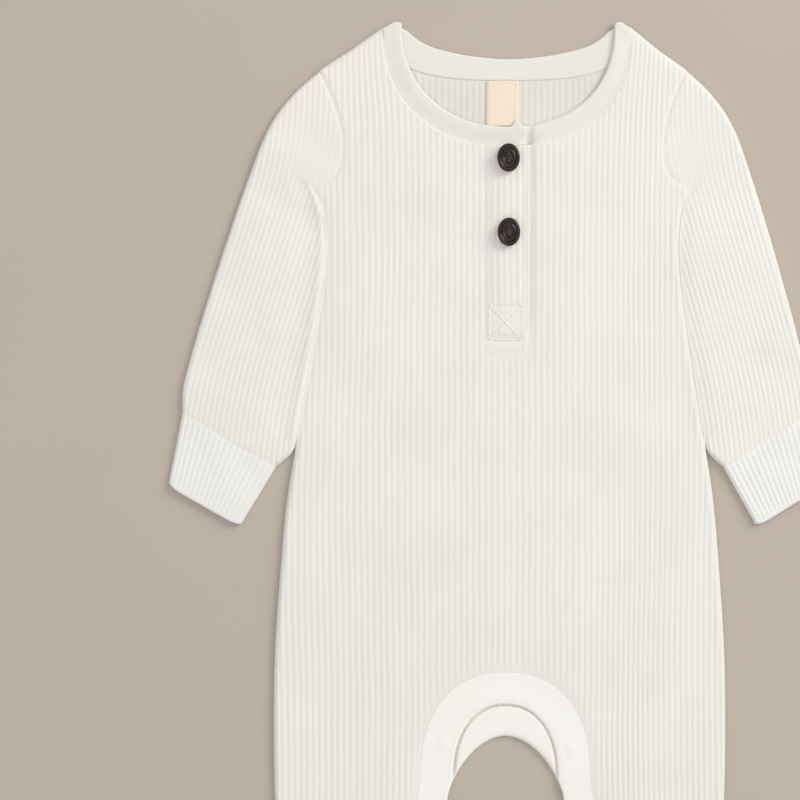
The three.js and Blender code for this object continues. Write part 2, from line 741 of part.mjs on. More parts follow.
add("front", frontPanel(), KNIT);
add("back", backPanel(), KNIT);
for (const [name, side] of [["left", -1], ["right", 1]]) {
  add(`sleeve_${name}`, tube(side, sleevePoint, SLEEVE), KNIT);
  add(`cuff_${name}`, tube(side, cuffPoint, CUFF_TUBE), KNIT);
}
add("neckband", neckband(), KNIT);
add("placket", placket(), KNIT);
add("front_inseam_band", inseamBand(FRONT_BAND), KNIT);
add("back_inseam_band", inseamBand(BACK_BAND), KNIT);
add("label", label(), TAPE);
for (const { name, x, down } of BUTTONS) {
  const button = add(name, buttonGeometry(), HORN);
  button.position.set(...lay(x, down), placketFloor(x, down) + PLACKET.wall + RIB_HEIGHT + CLEAR);
}

export default romper;
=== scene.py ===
"""A baby's long-sleeved romper in off-white ribbed knit, laid flat on a pale floor.

Plan sizes are in millimetres, in the same two distances as the part's source: x outwards
from the centre front line (minus to the left) and down, below the shoulder tips. lay()
turns them into the frame's metres. Heights and reliefs in the functions are millimetres too.
"""

import math
from functools import partial
from types import SimpleNamespace

import bpy
import numpy as np
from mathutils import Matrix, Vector
from mathutils.bvhtree import BVHTree


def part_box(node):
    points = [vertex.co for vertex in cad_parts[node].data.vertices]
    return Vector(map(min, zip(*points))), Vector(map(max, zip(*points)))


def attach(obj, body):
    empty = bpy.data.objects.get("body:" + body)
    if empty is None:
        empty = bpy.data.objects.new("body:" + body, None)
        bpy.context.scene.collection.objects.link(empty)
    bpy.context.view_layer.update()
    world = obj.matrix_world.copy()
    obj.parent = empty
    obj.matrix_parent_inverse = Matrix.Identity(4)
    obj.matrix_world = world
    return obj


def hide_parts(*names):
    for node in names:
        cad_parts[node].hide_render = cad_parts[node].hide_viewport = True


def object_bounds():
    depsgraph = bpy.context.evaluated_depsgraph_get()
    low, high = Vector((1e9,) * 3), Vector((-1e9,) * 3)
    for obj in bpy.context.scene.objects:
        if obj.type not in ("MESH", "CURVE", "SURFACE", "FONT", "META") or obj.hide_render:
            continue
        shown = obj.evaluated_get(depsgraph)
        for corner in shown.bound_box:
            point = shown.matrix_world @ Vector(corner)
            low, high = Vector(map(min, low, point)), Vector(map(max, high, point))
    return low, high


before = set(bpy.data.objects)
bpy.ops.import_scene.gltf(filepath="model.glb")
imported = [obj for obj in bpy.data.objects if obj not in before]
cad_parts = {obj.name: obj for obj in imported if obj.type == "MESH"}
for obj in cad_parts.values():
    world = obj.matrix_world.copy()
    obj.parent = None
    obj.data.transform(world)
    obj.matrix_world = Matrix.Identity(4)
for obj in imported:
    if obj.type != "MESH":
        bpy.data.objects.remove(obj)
cad_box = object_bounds()
low_corner, high_corner = (np.array(corner) * 1000 for corner in cad_box)

MM = 0.001

# Driving dimensions, as in the part's source
LENGTH = high_corner[1] - low_corner[1]
SLEEVE_REACH = 213.1
WALL = 1.2
RIB = 3.87
BACK_WALL = 1.6
CLEAR = 0.3
BAND_WALL = 2.05
BAND_WIDTH = 20.0
SQUEEZE_TOP = 0.06
SQUEEZE_LOW = 0.08
SQUEEZE_DOWN = 240.0
SQUEEZE_FROM = 40.0
SQUEEZE_TO = 110.0
CENTRE_FRONT = SLEEVE_REACH * SQUEEZE_LOW / 2

# Outlines as (down, half)
SHOULDER = [(3, 78.4), (10.6, 89.4), (18.1, 100), (25.6, 111.9), (30.6, 118.8)]
ARMHOLE = [
    (30.6, 118.8), (40, 113.8), (50.6, 109.4), (62.5, 105.6), (75, 103.4), (85, 103.6),
    (93, 106.2), (99.5, 112), (105, 122),
]
SIDE = [
    (105, 122), (111, 119), (118, 116.6), (128, 115), (142.5, 114.4), (165, 116.3),
    (215, 124.4), (263.8, 133.1), (298.8, 138.8), (345.6, 143.1), (393.1, 146.3),
    (461.3, 146.9), (500, 145.6), (560, 141.5), (640, 135.6),
]
SHOULDER_POINT = 30.6
UNDERARM = 105.0
SLEEVE_OUTER = [
    (30.6, 118.8), (40.6, 130.6), (55.6, 143.8), (70.6, 152.5), (93.1, 161.3), (123.1, 171.9),
    (183.1, 191.3), (213.1, 200), (230, 204), (244.4, 204.2),
]
SLEEVE_FLARE = [(262, 132.8), (268, 134.6), (274.4, 140.6), (278.1, 145.3)]
SLEEVE_FREE = 264.0  # below this the sleeve's inner edge is clear of the body
# Where the sleeve's crosswise rows start on the outer fold and end on the inner edge
SLEEVE_ROWS = [
    (30.6, 30.6), (40.6, 58), (55.6, 86), (62.5, 94.8), (70.6, 101.5), (81, 110.3),
    (93.1, 128), (123.1, 165), (153.1, 200), (183.1, 232), (213.1, 258), (244.4, 278.1),
]
# How far outwards the sleeve's ribs have run at each down
SLEEVE_LEAN = [
    (20, 0), (70, 2.2), (95, 6.6), (120, 14), (180, 33.5), (215, 44.5), (245, 51), (300, 58),
]
CUFF_OUTER = [(244.4, 204.2), (290, 213.1)]
CUFF_INNER = [(278.1, 145.4), (315.5, 168.3)]
CUFF_LENGTH = 44.0
CUFF_RIBS = 17
CUFF_ROUNDING = 0.05
CUFF_ROWS = (
    0, 0.02, 0.05, 0.1, 0.2, 0.3, 0.4, 0.5, 0.6, 0.7, 0.8, 0.88, 0.93, 0.96, 0.98, 0.993, 1
)

# Neck and crotch curves: half = across * cos, depth = depth * sin, with a rounding power
NECK_TOP = 3.0
FRONT_NECK_EDGE = (67, 62.6, 2.15)
FRONT_NECK_SEAM = (78.4, 74, 2.25)
BACK_NECK_EDGE = (67, 20, 1.75)
BACK_NECK_SEAM = (78.4, 33.3, 2.8)
TIP_DROP = 3.0
TIP_LENGTH = 10.0
CROTCH_X = -2.2
FRONT_ARCH = (32.8, 45, 2.2)
FRONT_ARCH_SEAM = (53, 65, 2.3)
FRONT_FOOT = 471.0
FRONT_LEG_SEAM = [
    (471, 53), (485, 55.4), (505, 60.6), (530, 65.5), (567, 70.3), (605, 73.4), (640, 75.5),
]
BACK_ARCH = (40, 60, 1.85)
BACK_ARCH_SEAM = (60, 80, 1.85)
BACK_FOOT = 506.3
LEG_START = 484.9
INSEAM = [(484.9, 36.7), (505, 41.5), (530, 46), (567, 50.5), (605, 53.5), (640, 55.5)]
FRONT_OVER_BACK = 0.6

# Heights above the floor
FRONT_EDGE = BACK_WALL + CLEAR
FRONT_LIFT = 1.0
SLEEVE_TOP = 4.0
CUFF_TOP = 3.6
FOLD_EDGE = 1.6

# Soft ridges and troughs: x, down, turn in degrees, half length, half width, lift
FOLDS = [
    (-28, 222, 4, 62, 15, -0.45),
    (22, 250, -5, 66, 16, 0.4),
    (20, 286, 3, 58, 15, -0.45),
    (-30, 322, 6, 70, 18, 0.45),
    (-8, 352, 8, 66, 14, -0.45),
    (-110, 400, 72, 70, 20, -0.4),
    (86, 470, 70, 48, 13, 0.5),
    (-86, 560, 84, 60, 16, 0.4),
    (92, 585, -82, 50, 16, 0.4),
    (-84, 110, -62, 34, 12, 0.35),
    (84, 112, 60, 34, 12, 0.35),
]
SLEEVE_FOLDS = [
    (142, 82, 28, 34, 13, 0.9),
    (138, 116, 34, 34, 10, -1.0),
    (160, 150, 24, 30, 14, 0.35),
    (158, 212, -18, 34, 12, -0.45),
    (172, 240, 26, 34, 10, 0.5),
    (118, 108, 35, 9, 2.4, -0.5),
    (122, 116, 24, 10, 2.6, 0.4),
]

# The placket with the crease at its right, the stitched box at its foot, and the neck label
PLACKET = SimpleNamespace(left=-14.6, right=10.7, top=77.6, bottom=208.0)
PLACKET_LINE = 12.0
BOX = SimpleNamespace(left=-12.8, right=7.6, top=176.8, bottom=198.7)
LABEL = SimpleNamespace(left=-13.9, right=6.2, top=36.6, bottom=65.0)

# Look of the ribs and edges
RIB_COLUMNS = 6
RIB_DEPTH = 0.44
CUFF_RIB_DEPTH = 0.42
PLACKET_RIB_DEPTH = 0.34
SLEEVE_RIB = 3.5
NECK_RIB = 2.7
EDGE_ROLL = 2.4
SLEEVE_ROLL = 3.2
SLEEVE_INNER_ROLL = 2.6
CUFF_ROLL = 2.8
SEAM_DIP = 0.3
SEAM_DIP_WIDTH = 1.6
SHARP_ANGLE = 65

# Stitches: length, gap, bulge and thread radius
BOX_STITCH = (2.2, 0.3, 0.22, 0.3)
NECK_STITCH = (2, 0.7, 0.05, 0.2)
INSEAM_STITCH = (2, 0.8, 0.04, 0.2)
HEM_STITCH = (2.2, 0.8, 0.05, 0.2)
LABEL_STITCH = (2, 0.2, 0.15, 0.18)
STITCH_SINK = 0.12
ABOVE_ALL = 50.0


def mix(a, b, t):
    return a + (b - a) * t


def smooth(start, end, value):
    t = np.clip((value - start) / (end - start), 0, 1)
    return t * t * (3 - 2 * t)


class Curve:
    """A smooth curve through the rows of a table of (down, half)."""

    def __init__(self, table):
        self.down, self.half = (np.array(column, float) for column in zip(*table))
        slopes = np.diff(self.half) / np.diff(self.down)
        inner = (slopes[1:] + slopes[:-1]) / 2
        self.slope = np.concatenate([slopes[:1], inner, slopes[-1:]])

    def __call__(self, down):
        i = np.clip(np.searchsorted(self.down, down, "right") - 1, 0, len(self.down) - 2)
        step = self.down[i + 1] - self.down[i]
        t = (down - self.down[i]) / step
        own = (self.half[i + 1] - self.half[i]) / step
        bend = (self.slope[i] - own) * (1 - t) + (own - self.slope[i + 1]) * t
        return mix(self.half[i], self.half[i + 1], t) + t * (1 - t) * bend * step


shoulder_curve = Curve(SHOULDER)
armhole_curve = Curve(ARMHOLE)
side_curve = Curve(SIDE)
sleeve_outer = Curve(SLEEVE_OUTER)
sleeve_flare = Curve(SLEEVE_FLARE)
inseam_curve = Curve(INSEAM)
front_leg_seam = Curve(FRONT_LEG_SEAM)


def body_edge(down):
    low = np.where(down < UNDERARM, armhole_curve(down), side_curve(down))
    return np.where(down < SHOULDER_POINT, shoulder_curve(down), low)


def round_half(curve, depth):
    across, most, power = curve
    share = np.clip(depth / most, 0, 1)
    return across * (1 - share**power) ** (1 / power)


def front_inseam(down):
    leg = inseam_curve(np.maximum(down, LEG_START)) - FRONT_OVER_BACK
    leg = mix(FRONT_ARCH[0], leg, smooth(FRONT_FOOT, LEG_START, down))
    return np.where(down < FRONT_FOOT, round_half(FRONT_ARCH, FRONT_FOOT - down), leg)


def front_band_seam(down):
    leg = front_leg_seam(np.maximum(down, FRONT_FOOT))
    return np.where(down < FRONT_FOOT, round_half(FRONT_ARCH_SEAM, FRONT_FOOT - down), leg)


def back_inseam(down):
    arch = round_half(BACK_ARCH, BACK_FOOT - down)
    return np.where(down < LEG_START, arch, inseam_curve(down))


def back_band_seam(down):
    start = round_half(BACK_ARCH_SEAM, BACK_FOOT - LEG_START)
    leg = mix(start, inseam_curve(down) + BAND_WIDTH, smooth(LEG_START, 530, down))
    return np.where(down < LEG_START, round_half(BACK_ARCH_SEAM, BACK_FOOT - down), leg)


def lay(x, down, z):
    """Plan millimetres to the frame's metres."""
    x, down, z = np.broadcast_arrays(*(np.asarray(v, float) for v in (x, down, z)))
    most = mix(SQUEEZE_TOP, SQUEEZE_LOW, np.minimum(1, down / SQUEEZE_DOWN))
    squeeze = np.where(x > 0, most * smooth(SQUEEZE_FROM, SQUEEZE_TO, x), 0)
    place = [CENTRE_FRONT + x * (1 - squeeze), LENGTH / 2 - down, z]
    return np.stack(place, axis=-1) * MM


def bell(distance, width):
    """1 at no distance, falling away evenly on both sides."""
    return np.exp(-((distance / width) ** 2))


def fold_lift(folds, x, down):
    lift = np.zeros(np.broadcast(x, down).shape)
    for fold_x, fold_down, turn, long, wide, height in folds:
        angle = math.radians(turn)
        dx = x - fold_x
        dy = fold_down - down
        along = dx * math.cos(angle) + dy * math.sin(angle)
        across = dy * math.cos(angle) - dx * math.sin(angle)
        lift = lift + height * bell(along, long) * bell(across, wide)
    return lift


def drift(x, down, size):
    """Slow uneven waves between -1 and 1, about size millimetres long."""
    a = np.sin(x / size * 1.7 + down / size * 0.9 + 1.3)
    b = np.sin(x / size * -0.8 + down / size * 2.1 + 4.1)
    c = np.sin(x / size * 2.9 + down / size * 1.3 + 0.4) * np.sin(down / size * 0.37 + 2)
    return (a + b + c) / 3


def roll(distance, radius):
    """0 at a rounded edge, 1 from one radius inwards."""
    share = 1 - np.clip(distance / radius, 0, 1)
    return np.sqrt(1 - share**2)


def rib_wander(x, down):
    bend = 0.9 * np.sin(down / 46 + x / 55) * smooth(20, 90, np.abs(x))
    pull = 3 * (1 - smooth(12, 66, down)) * bell(np.abs(x) - 76, 18)
    return bend + np.sign(x) * pull + 0.35 * drift(x, down, 23)


def rib_height(phase):
    """A rounded ridge with a narrow groove at each whole phase."""
    off = np.abs(2 * (phase - np.floor(phase)) - 1)
    return 1 - off**2.3


def dip(distance, depth=SEAM_DIP):
    return -depth * bell(distance, SEAM_DIP_WIDTH)


class Cloth:
    """A mesh that is built up from rows of points."""

    def __init__(self):
        self.points = []
        self.faces = []
        self.count = 0

    def row(self, points, at, closed=False):
        """Adds points and their places along the row; a closed row ends at its start."""
        ids = np.arange(self.count, self.count + len(points))
        at = np.asarray(at, float)
        self.points.append(points)
        self.count += len(points)
        if closed:
            ids = np.append(ids, ids[0])
            at = np.append(at, np.inf)
        return ids, at

    def bar_row(self, x, top, under):
        """One closed section of a bar: its top, then its underside back, as (down, height)."""
        ring = np.concatenate([lay(x, *top), lay(x, *under)[::-1]])
        return self.row(ring, np.arange(len(ring)), closed=True)

    def tube_row(self, x, down, top, under, at, turned):
        """One closed section of a flattened tube, whose top and underside share their ends."""
        back = slice(-2, 0, -1)
        ring = np.concatenate([lay(x, down, top), lay(x, down, under)[back]])
        return self.row(ring, np.concatenate([at, (turned - at)[back]]), closed=True)

    def strip(self, a, b, flip=False):
        """Fills between two rows, stepping along whichever row is behind."""
        (ids_a, at_a), (ids_b, at_b) = a, b
        on_b = np.minimum(np.searchsorted(at_b[1:], at_a[1:], "left"), len(ids_b) - 1)
        on_a = np.minimum(np.searchsorted(at_a[1:], at_b[1:], "right"), len(ids_a) - 1)
        first = np.stack([ids_a[:-1], ids_b[on_b], ids_a[1:]], axis=1)
        second = np.stack([ids_a[on_a], ids_b[:-1], ids_b[1:]], axis=1)
        faces = np.concatenate([first, second])
        self.faces.append(faces[:, ::-1] if flip else faces)

    def quad(self, a, b, c, d):
        self.faces.append(np.array([[a, b, c], [a, c, d]]))

    def slab(self, top, under, start=True, end=True, sides=True):
        """A closed sheet between rows of its top and of its underside."""
        last = len(top) - 1
        for k in range(last):
            self.strip(top[k], top[k + 1])
            self.strip(under[k], under[k + 1], flip=True)
            if sides:
                rows = (top[k], under[k], under[k + 1], top[k + 1])
                a, b, c, d = (row[0][0] for row in rows)
                self.quad(a, b, c, d)
                a, b, c, d = (row[0][-1] for row in rows)
                self.quad(a, d, c, b)
        if start:
            self.strip(under[0], top[0])
        if end:
            self.strip(top[last], under[last])

    def grid(self, rows):
        """A closed bar through closed sections with the same number of points each."""
        for a, b in zip(rows, rows[1:]):
            self.strip(a, b)
        for row, turn in ((rows[0], 1), (rows[-1], -1)):
            ids = row[0][:-1][::turn]
            fan = [[ids[0], ids[k], ids[k + 1]] for k in range(1, len(ids) - 1)]
            self.faces.append(np.array(fan))

    def build(self, name):
        points = np.concatenate(self.points)
        faces = np.concatenate(self.faces)
        a, b, c = (faces[:, k] for k in range(3))
        faces = faces[(a != b) & (b != c) & (a != c)]
        corners = points[faces]
        cross = np.cross(corners[:, 1], corners[:, 2])
        if np.einsum("ij,ij->", corners[:, 0], cross) < 0:
            faces = faces[:, ::-1]
        mesh = bpy.data.meshes.new(name)
        mesh.vertices.add(len(points))
        mesh.vertices.foreach_set("co", points.ravel())
        mesh.loops.add(faces.size)
        mesh.loops.foreach_set("vertex_index", faces.ravel())
        mesh.polygons.add(len(faces))
        mesh.polygons.foreach_set("loop_start", np.arange(0, faces.size, 3))
        mesh.polygons.foreach_set("use_smooth", np.ones(len(faces), bool))
        mesh.update(calc_edges=True)
        mesh.set_sharp_from_angle(angle=math.radians(SHARP_ANGLE))
        piece = bpy.data.objects.new(name, mesh)
        bpy.context.collection.objects.link(piece)
        return piece


def finish_piece(piece, material, slot, *nodes):
    piece.data.materials.append(material)
    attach(piece, "root")
    if nodes:
        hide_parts(*nodes)
    return piece


# Materials


def new_material(name, roughness, specular=0.5):
    """A material with its node tree, its shader and the object's own coordinates."""
    material = bpy.data.materials.new(name)
    material.use_nodes = True
    tree = material.node_tree
    shader = tree.nodes["Principled BSDF"]
    shader.inputs["Roughness"].default_value = roughness
    shader.inputs["Specular IOR Level"].default_value = specular
    return material, tree, shader, tree.nodes.new("ShaderNodeTexCoord").outputs["Object"]


def texture(tree, kind, where, **values):
    node = tree.nodes.new(kind)
    for name, value in values.items():
        node.inputs[name].default_value = value
    tree.links.new(where, node.inputs["Vector"])
    return node


def noise(tree, where, scale, detail):
    return texture(tree, "ShaderNodeTexNoise", where, Scale=scale, Detail=detail).outputs["Fac"]


def tint(tree, shader, share, dark, light, start=0.0, end=1.0):
    """Base colour that goes from dark to light as share goes from start to end."""
    ramp = tree.nodes.new("ShaderNodeValToRGB")
    for stop, place, colour in zip(ramp.color_ramp.elements, (start, end), (dark, light)):
        stop.position = place
        stop.color = (*colour, 1)
    tree.links.new(share, ramp.inputs["Fac"])
    tree.links.new(ramp.outputs["Color"], shader.inputs["Base Color"])


def relief(tree, shader, height, strength, distance):
    bump = tree.nodes.new("ShaderNodeBump")
    bump.inputs["Strength"].default_value = strength
    bump.inputs["Distance"].default_value = distance
    tree.links.new(height, bump.inputs["Height"])
    tree.links.new(bump.outputs["Normal"], shader.inputs["Normal"])


def knit(name, colour, shade, stitch=1250, depth=0.05):
    """Matte cotton knit: tint that varies slowly, tiny stitches and loose fibres as bump."""
    material, tree, shader, where = new_material(name, roughness=0.92, specular=0.2)
    slow = noise(tree, where, scale=22, detail=3)
    tint(tree, shader, slow, shade, colour, start=0.3, end=0.7)
    loops = texture(tree, "ShaderNodeTexVoronoi", where, Scale=stitch)
    total = tree.nodes.new("ShaderNodeMath")
    total.operation = "ADD"
    tree.links.new(loops.outputs["Distance"], total.inputs[0])
    tree.links.new(noise(tree, where, scale=2600, detail=2), total.inputs[1])
    relief(tree, shader, total.outputs["Value"], strength=depth, distance=0.0006)
    shader.inputs["Sheen Weight"].default_value = 0.15
    shader.inputs["Sheen Roughness"].default_value = 0.5
    return material


def tape(name, colour, shade):
    """A woven label: fine rows of thread."""
    material, tree, shader, where = new_material(name, roughness=0.7)
    weave = texture(tree, "ShaderNodeTexWave", where, Scale=700, Distortion=0.4)
    weave.bands_direction = "Y"
    tint(tree, shader, weave.outputs["Fac"], shade, colour)
    relief(tree, shader, weave.outputs["Fac"], strength=0.2, distance=0.0002)
    return material


def horn(name, colour, shade):
    """Dark mottled button, half glossy."""
    material, tree, shader, where = new_material(name, roughness=0.26, specular=0.4)
    mottle = noise(tree, where, scale=260, detail=4)
    tint(tree, shader, mottle, shade, colour, start=0.35, end=0.75)
    return material


BODY_KNIT = knit("body_knit", (0.86, 0.835, 0.78), (0.825, 0.8, 0.74))
SLEEVE_KNIT = knit("sleeve_knit", (0.865, 0.84, 0.782), (0.83, 0.806, 0.74))
# Darker than the body knit: painted shade for the inside of the back, which lies recessed under the
# neck opening.
INSIDE_KNIT_PAINTED_SHADE = knit("inside_knit_painted_shade", (0.78, 0.76, 0.685), (0.74, 0.72, 0.645))
CUFF_KNIT = knit("cuff_knit", (0.885, 0.866, 0.832), (0.855, 0.836, 0.797))
BAND_KNIT = knit("band_knit", (0.945, 0.92, 0.87), (0.915, 0.89, 0.835), stitch=1500)
# Darker than the body knit: painted shade on the neckband, most of all for its back part lying low
# behind the neck.
NECK_KNIT_PAINTED_SHADE = knit("neck_knit_painted_shade", (0.835, 0.81, 0.748), (0.805, 0.78, 0.716), stitch=1500)
THREAD = knit("thread", (0.88, 0.86, 0.81), (0.84, 0.82, 0.77), stitch=3000, depth=0.02)
LABEL_TAPE = tape("label_tape", (0.93, 0.79, 0.635), (0.88, 0.74, 0.583))
HORN = horn("horn", (0.04, 0.016, 0.01), (0.009, 0.003, 0.002))
BUTTON_THREAD = knit("button_thread", (0.1, 0.06, 0.045), (0.06, 0.035, 0.03), stitch=3000)


# Body panels


def radial_distance(curve, x, depth):
    """Distance outside a neck or arch curve, along the line from its centre."""
    across, most, power = curve
    level = (np.abs(x) / across) ** power + (np.maximum(depth, 0) / most) ** power
    level = np.maximum(level, 1e-6) ** (1 / power)
    reach = np.hypot(x, np.maximum(depth, 0))
    return reach * (level - 1) / level


def from_edge(x, down):
    slope = body_edge(down + 0.5) - body_edge(down - 0.5)
    return np.maximum(0, (body_edge(down) - np.abs(x)) / np.hypot(1, slope))


def from_neck(curve, x, down):
    return np.maximum(0, radial_distance(curve, x, down - NECK_TOP))


# Lines over the crotch, where each inseam band is sewn on and where it ends free:
# arch curve, level of the arch's feet, and half-width below them
FRONT_SEAM_LINE = (FRONT_ARCH_SEAM, FRONT_FOOT, front_band_seam)
FRONT_FREE_LINE = (FRONT_ARCH, FRONT_FOOT, front_inseam)
BACK_SEAM_LINE = (BACK_ARCH_SEAM, BACK_FOOT, back_band_seam)
BACK_FREE_LINE = (BACK_ARCH, BACK_FOOT, back_inseam)


def from_line(line, x, down):
    """Distance outside such a line, with distances inside it counted as negative."""
    curve, foot, half = line
    arch = radial_distance(curve, x - CROTCH_X, foot - down)
    return np.where(down < foot, arch, np.abs(x - CROTCH_X) - half(down))


def from_arch(line, x, down):
    return np.maximum(0, from_line(line, x, down))


def open_edge_share(down):
    """1 where the panel's edge lies free, 0 along the armhole."""
    return 1 - smooth(27, 34, down) + smooth(104, 116, down)


def low_armhole(down):
    """0 at the shoulder, 1 over the lower half of the armhole and below it."""
    return smooth(48, 76, down)


def front_under(x, down):
    rise = 1 - open_edge_share(down) * np.exp(-from_edge(x, down) / 4)
    return FRONT_EDGE + rise * (FRONT_LIFT + fold_lift(FOLDS, x, down))


def edge_floor(down):
    """Height of the front panel's edge: lower where it lies free than beside a sleeve."""
    beside = smooth(28, 36, down) * (1 - smooth(SLEEVE_FREE - 6, SLEEVE_FREE + 8, down))
    level = 3.1 + 0.6 * low_armhole(down) + 0.35 * smooth(95, 122, down)
    return mix(BACK_WALL + 0.1, level, beside)


def crease(x, down):
    """Depth of the crease beside the placket, where the opening's under edge is sewn in."""
    off = x - PLACKET_LINE
    slow = (1 - np.clip(off / 7.5, 0, 1)) ** 1.3
    shape = np.where(off < 0, bell(off, 3), mix(slow, bell(off, 2), 0.4))
    return 1.7 * shape * smooth(70, 77, down) * (1 - smooth(186, 204, down))


def front_surface(x, down):
    """Top of the front panel under its ribs, with its rolled edges and sewn-down seams."""
    edge = from_edge(x, down)
    share = open_edge_share(down)
    level = front_under(x, down) + WALL + 0.12 * drift(x, down, 31)
    rim = np.where(x < 0, smooth(SLEEVE_FREE - 20, SLEEVE_FREE, down), smooth(110, 125, down))
    level = level + 0.5 * share * rim * bell(edge - 3, 3)
    level = level + dip(from_neck(FRONT_NECK_SEAM, x, down), 0.15)
    level = level + dip(from_arch(FRONT_SEAM_LINE, x, down), 0.1)
    level = level + (1 - share) * (1 - 0.6 * low_armhole(down)) * dip(edge)
    level = level - crease(x, down)
    low = edge_floor(down)
    radius = mix(1.2, EDGE_ROLL, np.clip((3.1 - low) / 1.4, 0, 1))
    return low + (level - low) * mix(1, roll(edge, radius), share)


def front_rib_depth(x, down):
    edge = smooth(0.4, 2.6, from_edge(x, down))
    neck = smooth(0.3, 2.5, from_neck(FRONT_NECK_SEAM, x, down))
    arch = smooth(-1, 9, from_arch(FRONT_SEAM_LINE, x, down))
    uneven = (0.8 + 0.2 * drift(x, down, 17)) * (1 + 0.35 * smooth(300, 460, down))
    covered = smooth(PLACKET.left, PLACKET.left + 1, x)
    covered = covered * (1 - smooth(PLACKET_LINE + 1, PLACKET_LINE + 5, x))
    covered = covered * smooth(PLACKET.top - 3, PLACKET.top, down)
    covered = covered * (1 - smooth(PLACKET.bottom - 0.8, PLACKET.bottom + 5, down))
    return RIB_DEPTH * edge * neck * arch * uneven * (1 - covered)


def columns(x0, x1, down, per_rib=RIB_COLUMNS, extra=()):
    """Places across a row: (rib phase, x), with the row's own ends."""
    step = RIB / per_rib
    k = np.arange(math.floor(x0 / step) - 4, math.ceil(x1 / step) + 5)
    x = k * step + rib_wander(k * step, down)
    keep = (x > x0 + step / 4) & (x < x1 - step / 4)
    for place in extra:
        keep &= np.abs(x - place) > step / 3
    places = np.sort(np.concatenate([[x0], x[keep], extra, [x1]]))
    return np.interp(places, x, k / per_rib), places


def plain_columns(x0, x1, down, extra=()):
    step = 14.0
    places = [x0, *extra, x1]
    for k in range(math.ceil(x0 / step), math.floor(x1 / step) + 1):
        if min(abs(k * step - p) for p in places) > step / 4:
            places.append(k * step)
    places = np.array(sorted(places))
    return places / RIB, places


def panel_rows(cloth, plan, pick, height):
    def across(x0, x1, down, extra=()):
        phase, x = pick(float(x0), float(x1), down, extra=extra)
        return cloth.row(lay(x, down, height(x, down, phase)), x)

    def cut(row, x):
        index = int(np.argmin(np.abs(row[1] - x)))
        return (row[0][: index + 1], row[1][: index + 1]), (row[0][index:], row[1][index:])

    last = len(plan["torso"]) - 1
    torso = []
    for k, down in enumerate(plan["torso"]):
        extra = [0.0] if k == 0 else [CROTCH_X] if k == last else []
        torso.append(across(-body_edge(down), body_edge(down), down, extra))
    neck_left, neck_right = cut(torso[0], 0)
    crotch_left, crotch_right = cut(torso[last], CROTCH_X)
    neck, inner = plan["neck"], plan["inner"]
    shoulders = [
        [across(-body_edge(d), -neck(d), d) for d in plan["shoulders"]] + [neck_left],
        [across(neck(d), body_edge(d), d) for d in plan["shoulders"]] + [neck_right],
    ]
    legs = [
        [crotch_left] + [across(-body_edge(d), CROTCH_X - inner(d), d) for d in plan["legs"]],
        [crotch_right] + [across(CROTCH_X + inner(d), body_edge(d), d) for d in plan["legs"]],
    ]
    return torso, shoulders, legs


def downs_along(curve, base, sign, start, step):
    """Downs of rows that follow a neck or arch curve, closer together where it is level."""
    across, most, power = curve
    found = {round(float(start), 4), round(float(base + sign * most), 4)}
    for degrees in range(3, 90, 3):
        depth = most * math.sin(math.radians(degrees)) ** (2 / power)
        found.add(round(float(base + sign * depth), 4))
    found = sorted(found)
    full = [found[0]]
    for value in found[1:]:
        parts = max(1, math.ceil((value - full[-1]) / step))
        full.extend(np.linspace(full[-1], value, parts + 1)[1:])
    return [float(v) for v in full if v >= start - 0.01]


def spread(start, end, step):
    return [float(v) for v in np.linspace(start, end, max(2, round((end - start) / step) + 1))]


def merge_rows(*lists):
    values = sorted(v for part in lists for v in part)
    kept = [values[0]]
    for value in values[1:]:
        if value - kept[-1] > 0.05:
            kept.append(value)
    return kept


def panel_plan(neck, line, changes, steps):
    """Rows of a panel: shoulders beside the neck, the torso, and legs beside the arch.

    changes are the downs where the torso's spacing changes. steps are the spacings beside the
    neck, in each stretch of the torso, beside the arch and on the legs.
    """
    arch, foot, inner = line
    neck_step, *torso_steps, arch_step, leg_step = steps
    neck_low, arch_top = NECK_TOP + neck[1], foot - arch[1]
    neck_rows = downs_along(neck, NECK_TOP, 1, NECK_TOP + 0.4, neck_step)
    arch_rows = downs_along(arch, foot, -1, arch_top, arch_step)
    stretches = zip((neck_low, *changes), (*changes, arch_top), torso_steps)
    return {
        "shoulders": merge_rows([d for d in neck_rows if d < neck_low - 0.1], [SHOULDER_POINT]),
        "torso": merge_rows(*(spread(*stretch) for stretch in stretches)),
        "legs": merge_rows(arch_rows, spread(foot, LENGTH, leg_step)),
        "neck": lambda d: round_half(neck, d - NECK_TOP),
        "inner": inner,
    }


def panel(name, plan, pick_top, top, pick_under, under):
    cloth = Cloth()
    torso, shoulders, legs = panel_rows(cloth, plan, pick_top, top)
    torso_under, shoulders_under, legs_under = panel_rows(cloth, plan, pick_under, under)
    cloth.slab(torso, torso_under, start=False, end=False)
    for k in range(2):
        cloth.slab(shoulders[k], shoulders_under[k], end=False)
        cloth.slab(legs[k], legs_under[k], start=False)
    return cloth.build(name)


def front_cloth():
    def top(x, down, phase):
        return front_surface(x, down) + front_rib_depth(x, down) * rib_height(phase)

    def under(x, down, phase):
        return np.minimum(front_under(x, down), front_surface(x, down) - 0.1)

    steps = (2.4, 2.2, 2.2, 4, 4, 4.5)
    plan = panel_plan(FRONT_NECK_SEAM, FRONT_SEAM_LINE, (UNDERARM, 135), steps)
    return panel("front_cloth", plan, columns, top, plain_columns, under)


